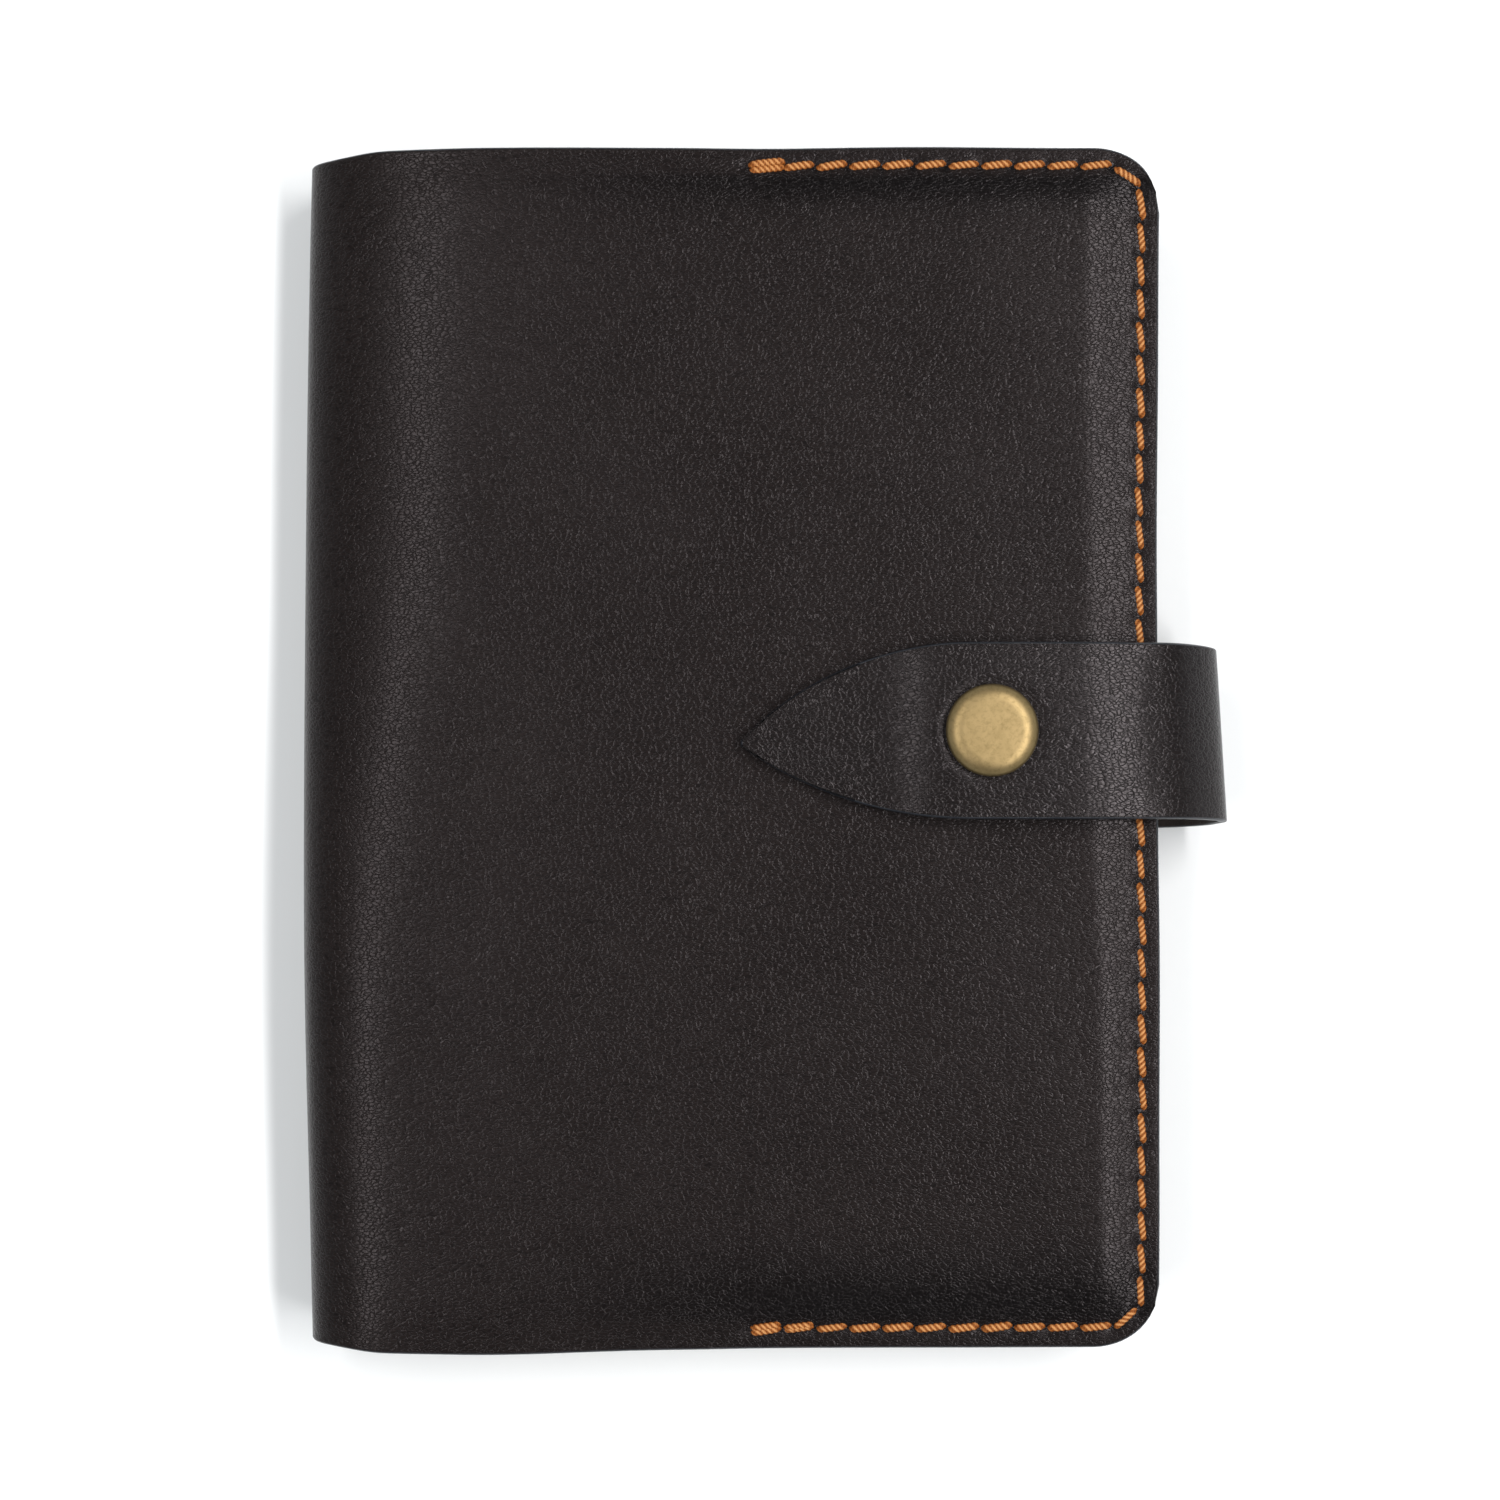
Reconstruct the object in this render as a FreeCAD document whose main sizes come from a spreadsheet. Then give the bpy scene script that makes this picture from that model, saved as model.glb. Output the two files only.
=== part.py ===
"""Leather notebook cover with a snap strap, closed round a small sewn notebook. Millimetres, +Z up.

The cover lies on its back: spine towards -X, fore edge and strap towards +X, head towards +Y.
The origin is the middle of the bounding box at the height of the surface it rests on.
"""

import FreeCAD, Part
import math
import os

import Sketcher

SIZES = {
    # leather shell
    "cover_height": 164.0,  # head to tail
    "cover_width": 117.6,  # outside of the spine to the fore edge
    "cover_thick": 18.0,  # outer face to outer face
    "leather_thick": 1.4,
    "bend_radius": 7.5,  # outside of the two spine folds
    "corner_radius": 8.6,
    "relief": 0.6,  # how far the sewn margin lies below the raised panel
    "end_rim": 4.7,  # width of the sewn margin at head and tail
    "side_rim": 3.3,  # width of the sewn margin at the fore edge
    # inner pockets
    "pocket_width": 56.0,
    "pocket_thick": 1.0,
    "pocket_lift": 1.6,  # how far the pocket's middle stands in from its rim
    # thread
    "stitch_inset": 2.5,  # edge of the leather to the row of stitches
    "stitch_pitch": 4.5,
    "thread_dia": 0.8,
    "seam_run": 55.8,  # fore edge to the first stitch
    "seam_corner": 3.9,  # the row of stitches turns more tightly than the outline
    # strap
    "strap_width": 24.0,
    "strap_thick": 1.4,
    "strap_shift": 2.4,  # strap's middle above the cover's middle
    "strap_reach": 57.0,  # fore edge to the point of the tab
    "strap_straight": 26.0,  # fore edge to where the sides start to curve in
    "point_drop": 1.7,  # the point lies this far below the strap's middle
    "loop_reach": 10.4,  # how far the strap stands out from the fore edge
    "loop_start": 1.4,  # straight strap between the fore edge and the loop
    "tab_gap": 2.8,  # tab above the front panel, room for the snap
    "root_length": 27.0,  # strap inside the back cover
    "root_thick": 0.8,  # pared thin where it is sewn in
    "anchor_long": 16.0,  # the sewn rectangle that holds the root
    "anchor_wide": 17.0,
    # snap fastener
    "snap_inset": 23.1,  # fore edge to the snap's middle
    "cap_dia": 12.5,
    "cap_rise": 1.8,
    "post_dia": 3.2,
    "socket_dia": 10.4,
    "stud_dia": 9.2,
    "ball_dia": 5.2,
    "eyelet_dia": 2.4,
    # notebook
    "board_height": 152.0,
    "board_width": 107.4,
    "board_thick": 1.2,
    "board_inset": 4.6,  # fore edge of the leather to the board
    "board_depth": 2.35,  # outer face of the leather to the board
    "leaf_height": 148.0,
    "leaf_width": 105.0,
    "leaf_inset": 7.2,
    "block_thick": 8.2,
    "lining_thick": 0.3,
    "strip_gap": 0.7,  # leather of the spine to the strip of card inside it
    "strip_reach": 2.2,  # how far the strip runs past the upright of the spine
}
SIGNATURES = 6
FOLD_GAP_DEG = 1.0  # half the gap left at each fold between the rigid parts of one piece of leather
FIT_GAP = 0.05  # clearance of a post in its hole
EPS = 0.02

doc = FreeCAD.newDocument("NotebookCover")
sheet = doc.addObject("Spreadsheet::Sheet", "Sizes")


class Dim:
    """A size with its number and the spreadsheet expression that gives it."""

    def __init__(self, value, text=None):
        self.value = float(value)
        self.text = repr(round(float(value), 6)) if text is None else text

    def _with(self, other, sign, value):
        return Dim(value, f"({self.text} {sign} {dim(other).text})")

    def __add__(self, other):
        return self._with(other, "+", self.value + dim(other).value)

    def __sub__(self, other):
        return self._with(other, "-", self.value - dim(other).value)

    def __mul__(self, other):
        return self._with(other, "*", self.value * dim(other).value)

    def __truediv__(self, other):
        return self._with(other, "/", self.value / dim(other).value)

    def __neg__(self):
        return dim(0) - self


def dim(x):
    return x if isinstance(x, Dim) else Dim(x)


def fill_sheet():
    """Writes the driving dimensions, one row each, and returns them as Dims by name."""
    found = {}
    for row, (name, value) in enumerate(SIZES.items(), start=1):
        sheet.set(f"A{row}", name)
        sheet.set(f"B{row}", str(value))
        sheet.setAlias(f"B{row}", name)
        found[name] = Dim(value, f"Sizes.{name}")
    doc.recompute()
    return found


S = fill_sheet()

# Places worked out from the sizes.
half_height = S["cover_height"] / 2
edge_x = (S["cover_width"] - S["loop_reach"]) / 2  # fore edge of the leather
spine_x = edge_x - S["cover_width"]  # outside of the spine
bend_x = spine_x + S["bend_radius"]
pocket_x = edge_x - S["pocket_width"]
panel_edge_x = edge_x - S["side_rim"]
panel_edge_y = half_height - S["end_rim"]
margin_depth = S["leather_thick"] + S["relief"]  # inner face of the sewn margin
pocket_depth = margin_depth + S["pocket_lift"]
snap_x = edge_x - S["snap_inset"]
tab_low = S["cover_thick"] + S["tab_gap"]
tab_top = tab_low + S["strap_thick"]
loop_x = edge_x + S["loop_start"]
loop_radius = S["loop_reach"] - S["loop_start"]
loop_low_z = margin_depth + EPS + loop_radius  # centre of the loop's lower bend
loop_high_z = tab_top - loop_radius  # centre of its upper bend
board_edge_x = edge_x - S["board_inset"]
block_low = (S["cover_thick"] - S["block_thick"]) / 2
block_edge_x = edge_x - S["leaf_inset"] - S["leaf_width"]


def depth(side, d):
    """Height of what lies d below the outer face of the back or front panel."""
    return dim(d) if side == "back" else S["cover_thick"] - d


def bind(obj, name, size):
    obj.setExpression(name, dim(size).text)


def plane_of(body, role):
    return [f for f in body.Origin.OriginFeatures if f.Role == role][0]


def new_body(name):
    body = doc.addObject("PartDesign::Body", name)
    body.Label = name
    return body


def draw(body, name, plane, points, arcs=None, offset=None):
    """A closed sketch through points. arcs maps a side's number to its centre and its turn, 1 or -1."""
    arcs = arcs or {}
    points = [(dim(u), dim(v)) for u, v in points]
    sketch = body.newObject("Sketcher::SketchObject", name)
    sketch.AttachmentSupport = [(plane_of(body, plane), "")]
    sketch.MapMode = "FlatFace"
    if offset is not None:
        bind(sketch, "AttachmentOffset.Base.z", offset)
    spots = [FreeCAD.Vector(u.value, v.value, 0) for u, v in points]
    count = len(points)
    for i in range(count):
        a, b = spots[i], spots[(i + 1) % count]
        if i in arcs:
            (cu, cv), turn = arcs[i]
            centre = FreeCAD.Vector(dim(cu).value, dim(cv).value, 0)
            first, last = (a, b) if turn > 0 else (b, a)
            ends = [math.atan2(p.y - centre.y, p.x - centre.x) for p in (first, last)]
            circle = Part.Circle(centre, FreeCAD.Vector(0, 0, 1), (a - centre).Length)
            sketch.addGeometry(Part.ArcOfCircle(circle, ends[0], ends[1]), False)
        else:
            sketch.addGeometry(Part.LineSegment(a, b), False)

    def start_of(i):
        return 2 if i in arcs and arcs[i][1] < 0 else 1

    for i in range(count):
        after = (i + 1) % count
        sketch.addConstraint(Sketcher.Constraint("Coincident", i, 3 - start_of(i), after, start_of(after)))
    for i, (u, v) in enumerate(points):
        for kind, size in (("DistanceX", u), ("DistanceY", v)):
            number = sketch.addConstraint(Sketcher.Constraint(kind, -1, 1, i, start_of(i), size.value))
            bind(sketch, f"Constraints[{number}]", size)
    for i, ((cu, cv), _) in arcs.items():
        level = abs(spots[i].y - spots[(i + 1) % count].y) < 1e-6
        kind, size = ("DistanceY", dim(cv)) if level else ("DistanceX", dim(cu))
        number = sketch.addConstraint(Sketcher.Constraint(kind, -1, 1, i, 3, size.value))
        bind(sketch, f"Constraints[{number}]", size)
    return sketch


def pad(body, name, sketch, length, midplane=False):
    feature = body.newObject("PartDesign::Pad", name)
    feature.Profile = sketch
    feature.Midplane = midplane
    bind(feature, "Length", length)
    body.Tip = feature
    doc.recompute()
    return feature


def slab(body, name, points, arcs, low, thick):
    """Material between the heights low and low + thick, inside an outline seen from above."""
    return pad(body, name, draw(body, name + "_outline", "XY_Plane", points, arcs, low), thick)


def hole(body, name, x, y, radius, low, tall):
    """A round hole along Z through what lies between low and low + tall."""
    sketch = body.newObject("Sketcher::SketchObject", name + "_circle")
    sketch.AttachmentSupport = [(plane_of(body, "XY_Plane"), "")]
    sketch.MapMode = "FlatFace"
    bind(sketch, "AttachmentOffset.Base.z", low)
    centre = FreeCAD.Vector(dim(x).value, dim(y).value, 0)
    sketch.addGeometry(Part.Circle(centre, FreeCAD.Vector(0, 0, 1), dim(radius).value), False)
    for kind, size in (("DistanceX", dim(x)), ("DistanceY", dim(y))):
        number = sketch.addConstraint(Sketcher.Constraint(kind, -1, 1, 0, 3, size.value))
        bind(sketch, f"Constraints[{number}]", size)
    number = sketch.addConstraint(Sketcher.Constraint("Radius", 0, dim(radius).value))
    bind(sketch, f"Constraints[{number}]", radius)
    before = body.Tip.Shape.Volume
    cut = body.newObject("PartDesign::Pocket", name)
    cut.Profile = sketch
    cut.Reversed = True
    bind(cut, "Length", tall)
    body.Tip = cut
    doc.recompute()
    if cut.Shape.Volume > before - 1e-3:
        raise RuntimeError(f"{name} cuts nothing")


def turned(name, profile, x, y, angle=360.0):
    """A round piece: profile is pairs of radius and height, turned about the vertical line through x, y."""
    body = new_body(name)
    sketch = draw(body, name + "_profile", "XZ_Plane", profile)
    feature = body.newObject("PartDesign::Revolution", name + "_turn")
    feature.Profile = sketch
    feature.ReferenceAxis = (plane_of(body, "Z_Axis"), [""])
    feature.Angle = angle
    body.Tip = feature
    bind(body, "Placement.Base.x", x)
    bind(body, "Placement.Base.y", y)
    return body


def box(name, low, high):
    """A rectangular piece between two corners."""
    piece = doc.addObject("Part::Box", name)
    piece.Label = name
    for k, (axis, side) in enumerate((("x", "Length"), ("y", "Width"), ("z", "Height"))):
        bind(piece, side, dim(high[k]) - low[k])
        bind(piece, f"Placement.Base.{axis}", low[k])
    return piece


def on_bend(x, z, radius, degrees):
    """The point of a bend at that angle from the +X direction, about its centre at x, z."""
    turn = math.radians(degrees)
    return dim(x) + dim(radius) * math.cos(turn), dim(z) + dim(radius) * math.sin(turn)


# ---- leather shell: one piece of leather, as three rigid parts that meet at the two spine folds ----


def panel_fold(side):
    """Side view of a panel's plain half and its half of the fold, up to the pocket's edge."""
    sign = 1 if side == "front" else -1
    z = depth(side, S["bend_radius"])
    inner = S["bend_radius"] - S["leather_thick"]
    gap = sign * (135 - FOLD_GAP_DEG)
    points = [
        (pocket_x, depth(side, 0)),
        (bend_x, depth(side, 0)),
        on_bend(bend_x, z, S["bend_radius"], gap),
        on_bend(bend_x, z, inner, gap),
        (bend_x, depth(side, S["leather_thick"])),
        (pocket_x, depth(side, S["leather_thick"])),
    ]
    return points, {1: ((bend_x, z), sign), 3: ((bend_x, z), -sign)}


def margin_outline(outer_x, outer_y, inner_x, inner_y, radius):
    """A three-sided frame, open towards the spine. radius rounds its two outer corners."""
    points = [
        (pocket_x, outer_y),
        (pocket_x, inner_y),
        (inner_x, inner_y),
        (inner_x, -inner_y),
        (pocket_x, -inner_y),
        (pocket_x, -outer_y),
    ]
    if radius is None:
        return points + [(outer_x, -outer_y), (outer_x, outer_y)], {}
    turn_x, turn_y = outer_x - radius, outer_y - radius
    points += [(turn_x, -outer_y), (outer_x, -turn_y), (outer_x, turn_y), (turn_x, outer_y)]
    return points, {6: ((turn_x, -turn_y), 1), 8: ((turn_x, turn_y), 1)}


def rectangle(x0, x1, half):
    return [(x0, -half), (x1, -half), (x1, half), (x0, half)]


def lowest(side, shallow, thick):
    """The lower face of a layer that starts shallow below a panel's outer face and is thick."""
    return depth(side, shallow) if side == "back" else depth(side, dim(shallow) + thick)


def outer_panel(side):
    body = new_body(f"{side}_panel")
    points, arcs = panel_fold(side)
    profile = draw(body, f"{side}_fold_profile", "XZ_Plane", points, arcs)
    pad(body, f"{side}_fold", profile, S["cover_height"], True)
    thick = S["leather_thick"]
    middle = rectangle(pocket_x, panel_edge_x, panel_edge_y)
    slab(body, f"{side}_raised", middle, None, lowest(side, 0, thick), thick)
    points, arcs = margin_outline(edge_x, half_height, panel_edge_x, panel_edge_y, S["corner_radius"])
    slab(body, f"{side}_margin", points, arcs, lowest(side, S["relief"], thick), thick)
    if side == "front":
        low = lowest(side, 0, thick)
        hole(body, "stud_hole", snap_x, S["strap_shift"], S["eyelet_dia"] / 2 + FIT_GAP, low - 1, thick + 2)
    return body


def spine_leather():
    """The upright of the spine with its half of each fold."""
    body = new_body("spine_leather")
    low, high = S["bend_radius"], S["cover_thick"] - S["bend_radius"]
    inner = S["bend_radius"] - S["leather_thick"]
    gap = 135 + FOLD_GAP_DEG
    points = [
        on_bend(bend_x, high, S["bend_radius"], gap),
        (spine_x, high),
        (spine_x, low),
        on_bend(bend_x, low, S["bend_radius"], -gap),
        on_bend(bend_x, low, inner, -gap),
        (spine_x + S["leather_thick"], low),
        (spine_x + S["leather_thick"], high),
        on_bend(bend_x, high, inner, gap),
    ]
    arcs = {
        0: ((bend_x, high), 1),
        2: ((bend_x, low), 1),
        4: ((bend_x, low), -1),
        6: ((bend_x, high), -1),
    }
    pad(body, "spine_wall", draw(body, "spine_profile", "XZ_Plane", points, arcs), S["cover_height"], True)
    return body


def pocket(side):
    """The inner sleeve: a sewn rim on three sides, a wall and the flat middle that holds the board."""
    body = new_body(f"{side}_pocket")
    thick = S["pocket_thick"]
    wall_y = panel_edge_y - S["pocket_thick"]
    points, arcs = margin_outline(edge_x, half_height, panel_edge_x, wall_y, S["corner_radius"])
    slab(body, f"{side}_rim", points, arcs, lowest(side, margin_depth, thick), thick)
    outer_x = panel_edge_x + thick
    points, arcs = margin_outline(outer_x, panel_edge_y, panel_edge_x, wall_y, None)
    tall = S["pocket_lift"] + thick
    slab(body, f"{side}_wall", points, arcs, lowest(side, margin_depth, tall), tall)
    middle = rectangle(pocket_x, outer_x, panel_edge_y)
    slab(body, f"{side}_middle", middle, None, lowest(side, pocket_depth, thick), thick)
    return body


def back_pocket():
    """The back sleeve's rim arches over the strap's root, which is sewn in under it."""
    body = pocket("back")
    arch = S["root_thick"] + 2 * EPS
    half = S["strap_width"] / 2 + 0.2
    low_y, high_y = S["strap_shift"] - half, S["strap_shift"] + half
    over = [(panel_edge_x, low_y - 1), (edge_x, low_y - 1), (edge_x, high_y + 1), (panel_edge_x, high_y + 1)]
    slab(body, "root_arch", over, None, margin_depth + arch, S["pocket_thick"])
    under = [(panel_edge_x - 1, low_y), (edge_x + 1, low_y), (edge_x + 1, high_y), (panel_edge_x - 1, high_y)]
    before = body.Tip.Shape.Volume
    cut = body.newObject("PartDesign::Pocket", "root_slot")
    cut.Profile = draw(body, "root_slot_outline", "XY_Plane", under, None, margin_depth - 1)
    cut.Reversed = True
    bind(cut, "Length", arch + 1)
    body.Tip = cut
    doc.recompute()
    if cut.Shape.Volume > before - 1e-3:
        raise RuntimeError("root_slot cuts nothing")


# ---- thread ----


def read(name):
    """A driving dimension as the spreadsheet holds it, for shapes that are made from Part's own functions."""
    return float(sheet.get(name))


def rounded_path(corners, radius, z):
    """A wire through the corners at height z, each inner corner rounded. corners are x, y numbers."""
    edges = []
    here = FreeCAD.Vector(*corners[0], z)
    for a, b in zip(corners[1:-1], corners[2:]):
        corner, after = FreeCAD.Vector(*a, z), FreeCAD.Vector(*b, z)
        into, out = (corner - here).normalize(), (after - corner).normalize()
        start, end = corner - into * radius, corner + out * radius
        middle = corner + (out - into) * (radius * (1 - math.sqrt(0.5)))
        edges += [Part.LineSegment(here, start).toShape(), Part.Arc(start, middle, end).toShape()]
        here = end
    edges.append(Part.LineSegment(here, FreeCAD.Vector(*corners[-1], z)).toShape())
    return Part.Wire(edges)


def cord_along(path, radius):
    start = path.Edges[0]
    at = start.FirstParameter
    ring = Part.Wire(Part.makeCircle(radius, start.valueAt(at), start.tangentAt(at)))
    return path.makePipeShell([ring], True, False)


def sewn_row(name, corners, corner_radius, outer_z, inner_z):
    """Thread on both faces of a seam, joined through every hole: a saddle stitch."""
    radius = read("thread_dia") / 2
    outer = rounded_path(corners, corner_radius, outer_z)
    inner = rounded_path(corners, corner_radius, inner_z)
    count = round(outer.Length / read("stitch_pitch"))
    low, high = min(outer_z, inner_z), max(outer_z, inner_z)
    holes = [
        Part.makeCylinder(radius * 0.9, high - low, FreeCAD.Vector(p.x, p.y, low))
        for p in outer.discretize(Number=count + 1)
    ]
    thread = cord_along(outer, radius).fuse([cord_along(inner, radius)] + holes)
    piece = doc.addObject("Part::Feature", name)
    piece.Label = name
    piece.Shape = thread
    return piece


def seam_thread(side):
    """The row of stitches round three sides of a pocket."""
    inset = read("stitch_inset")
    row_x, row_y = edge_x.value - inset, half_height.value - inset
    start_x = edge_x.value - read("seam_run")
    corners = [(start_x, row_y), (row_x, row_y), (row_x, -row_y), (start_x, -row_y)]
    outer_z = depth(side, read("relief") - 0.1).value
    inner_z = depth(side, margin_depth + S["pocket_thick"] + 0.1).value
    sewn_row(f"{side}_seam_thread", corners, read("seam_corner"), outer_z, inner_z)


def strap_anchor_thread():
    """A sewn rectangle, open by one stitch, that fixes the strap's root to the back panel."""
    right = edge_x.value - 7.5
    left = right - read("anchor_long")
    middle, half = read("strap_shift"), read("anchor_wide") / 2
    corners = [
        (right, middle + 2),
        (right, middle + half),
        (left, middle + half),
        (left, middle - half),
        (right, middle - half),
        (right, middle - 2),
    ]
    outer_z = read("thread_dia") / 2 + EPS
    inner_z = read("leather_thick") + read("root_thick") / 2 + 0.05
    sewn_row("strap_anchor_thread", corners, 1.5, outer_z, inner_z)


# ---- strap: one piece of leather, as three rigid parts that meet at the two bends of its loop ----


def strap_body(name):
    body = new_body(name)
    bind(body, "Placement.Base.y", S["strap_shift"])
    return body


def strap_root():
    """The sewn-in end, pared thin, with the first half of the loop's lower bend."""
    body = strap_body("strap_root")
    face = S["leather_thick"] + 0.05
    low = margin_depth + EPS
    ramp_x, flat_x = board_edge_x + 0.1, panel_edge_x - 0.05
    end_x = edge_x - S["root_length"]
    inner = loop_radius - S["strap_thick"]
    gap = -45 - FOLD_GAP_DEG
    points = [
        (end_x, face),
        (ramp_x, face),
        (flat_x, low),
        (loop_x, low),
        on_bend(loop_x, loop_low_z, loop_radius, gap),
        on_bend(loop_x, loop_low_z, inner, gap),
        (loop_x, low + S["strap_thick"]),
        (edge_x + 0.1, low + S["strap_thick"]),
        (edge_x + 0.1, low + S["root_thick"]),
        (flat_x, low + S["root_thick"]),
        (ramp_x, face + S["root_thick"]),
        (end_x, face + S["root_thick"]),
    ]
    centre = (loop_x, loop_low_z)
    arcs = {3: (centre, 1), 5: (centre, -1)}
    pad(body, "root_strip", draw(body, "root_profile", "XZ_Plane", points, arcs), S["strap_width"], True)


def strap_loop():
    body = strap_body("strap_loop")
    inner = loop_radius - S["strap_thick"]
    gap = 45 - FOLD_GAP_DEG
    points = [
        on_bend(loop_x, loop_low_z, loop_radius, -gap),
        (loop_x + loop_radius, loop_low_z),
        (loop_x + loop_radius, loop_high_z),
        on_bend(loop_x, loop_high_z, loop_radius, gap),
        on_bend(loop_x, loop_high_z, inner, gap),
        (loop_x + inner, loop_high_z),
        (loop_x + inner, loop_low_z),
        on_bend(loop_x, loop_low_z, inner, -gap),
    ]
    low, high = (loop_x, loop_low_z), (loop_x, loop_high_z)
    arcs = {0: (low, 1), 2: (high, 1), 4: (high, -1), 6: (low, -1)}
    pad(body, "loop_strip", draw(body, "loop_profile", "XZ_Plane", points, arcs), S["strap_width"], True)


def strap_tab():
    """The pointed end that lies over the front, with the last half of the loop's upper bend."""
    body = strap_body("strap_tab")
    inner = loop_radius - S["strap_thick"]
    gap = 45 + FOLD_GAP_DEG
    centre = (loop_x, loop_high_z)
    points = [
        (edge_x, tab_low),
        (loop_x, tab_low),
        on_bend(loop_x, loop_high_z, inner, gap),
        on_bend(loop_x, loop_high_z, loop_radius, gap),
        (loop_x, tab_top),
        (edge_x, tab_top),
    ]
    arcs = {1: (centre, -1), 3: (centre, 1)}
    pad(body, "tab_bend", draw(body, "tab_bend_profile", "XZ_Plane", points, arcs), S["strap_width"], True)
    half = S["strap_width"] / 2
    side_x, point_x = edge_x - S["strap_straight"], edge_x - S["strap_reach"]
    taper = S["strap_reach"] - S["strap_straight"]

    def side_arc(rise):
        """Radius of an arc that leaves the strap's side along it and ends rise further in, at the point."""
        return (taper * taper + rise * rise) / (rise * 2)

    upper = side_arc(half + S["point_drop"])
    lower = side_arc(half - S["point_drop"])
    points = [(edge_x, half), (side_x, half), (point_x, -S["point_drop"]), (side_x, -half), (edge_x, -half)]
    arcs = {1: ((side_x, half - upper), 1), 2: ((side_x, lower - half), 1)}
    slab(body, "tab_plate", points, arcs, tab_low, S["strap_thick"])
    hole(body, "post_hole", snap_x, 0, S["post_dia"] / 2 + FIT_GAP, tab_low - 1, S["strap_thick"] + 2)


# ---- snap fastener ----


def snap():
    """Cap, socket and spring on the tab; stud and eyelet on the front panel."""
    face = S["cover_thick"]
    post, cap, socket = S["post_dia"] / 2, S["cap_dia"] / 2, S["socket_dia"] / 2
    stud, ball, tube = S["stud_dia"] / 2, S["ball_dia"] / 2, S["eyelet_dia"] / 2
    cap_top = tab_top + S["cap_rise"]
    plate = tab_low - 0.5  # lower face of the socket's top plate
    turned(
        "snap_cap",
        [
            (0, plate - 0.25),
            (post + 0.8, plate - 0.25),
            (post + 0.8, plate),
            (post, plate),
            (post, tab_top + 0.5),
            (cap - 0.6, tab_top + 0.5),
            (cap - 0.6, tab_top),
            (cap, tab_top),
            (cap, cap_top - 1.0),
            (cap - 0.5, cap_top - 0.45),
            (cap * 0.75, cap_top - 0.12),
            (0, cap_top),
        ],
        snap_x,
        S["strap_shift"],
    )
    wall = ball + 0.2
    turned(
        "snap_socket",
        [
            (post + FIT_GAP, plate + EPS),
            (wall, plate + EPS),
            (wall, face + 1.1),
            (wall + 0.6, face + 1.1),
            (wall + 0.6, face + 0.6),
            (wall, face + 0.6),
            (wall, face + 0.45),
            (socket - 0.3, face + 0.45),
            (socket, face + 0.75),
            (socket, tab_low),
            (post + FIT_GAP, tab_low),
        ],
        snap_x,
        S["strap_shift"],
    )
    spring = doc.addObject("Part::Torus", "snap_spring")
    bind(spring, "Radius1", ball + 0.08)
    bind(spring, "Radius2", 0.18)
    spring.Angle3 = 335
    for axis, place in (("x", snap_x), ("y", S["strap_shift"]), ("z", face + 0.85)):
        bind(spring, f"Placement.Base.{axis}", place)
    turned(
        "snap_stud",
        [
            (tube + FIT_GAP, face),
            (stud, face),
            (stud, face + 0.35),
            (ball - 0.4, face + 0.35),
            (ball - 0.4, face + 1.0),
            (ball, face + 1.2),
            (ball, face + 1.45),
            (ball - 0.5, face + 1.7),
            (tube + FIT_GAP, face + 1.7),
        ],
        snap_x,
        S["strap_shift"],
    )
    under = face - S["leather_thick"]
    turned(
        "snap_eyelet",
        [
            (tube - 0.4, under - 0.35),
            (stud - 0.4, under - 0.35),
            (stud - 0.4, under),
            (tube, under),
            (tube, face + 1.7),
            (tube + 0.5, face + 1.7),
            (tube + 0.5, face + 1.85),
            (tube - 0.4, face + 1.85),
        ],
        snap_x,
        S["strap_shift"],
    )


# ---- notebook ----


def notebook_boards():
    """A card cover in three parts: two boards that slide into the pockets and the strip down the spine."""
    half = S["board_height"] / 2
    left = board_edge_x - S["board_width"]
    for side in ("back", "front"):
        low = lowest(side, S["board_depth"], S["board_thick"])
        box(f"notebook_{side}_cover", (left, -half, low), (board_edge_x, half, low + S["board_thick"]))
    strip = spine_x + S["leather_thick"] + S["strip_gap"]
    low = S["bend_radius"] - S["strip_reach"]
    high = S["cover_thick"] - low
    box("notebook_spine_cover", (strip, -half, low), (strip + S["board_thick"] * 0.75, half, high))


def signatures():
    """Folded sections of leaves, sewn through the fold."""
    half = S["leaf_height"]
    share = S["block_thick"] / SIGNATURES
    for k in range(SIGNATURES):
        low = block_low + share * k + EPS
        thick = share - 2 * EPS
        radius = thick / 2
        fold_x, right = block_edge_x + radius, block_edge_x + S["leaf_width"]
        points = [(right, low), (right, low + thick), (fold_x, low + thick), (fold_x, low)]
        body = new_body(f"signature_{k + 1}")
        sketch = draw(body, f"section_{k + 1}", "XZ_Plane", points, {2: ((fold_x, low + radius), 1)})
        pad(body, f"leaves_{k + 1}", sketch, half, True)


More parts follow.
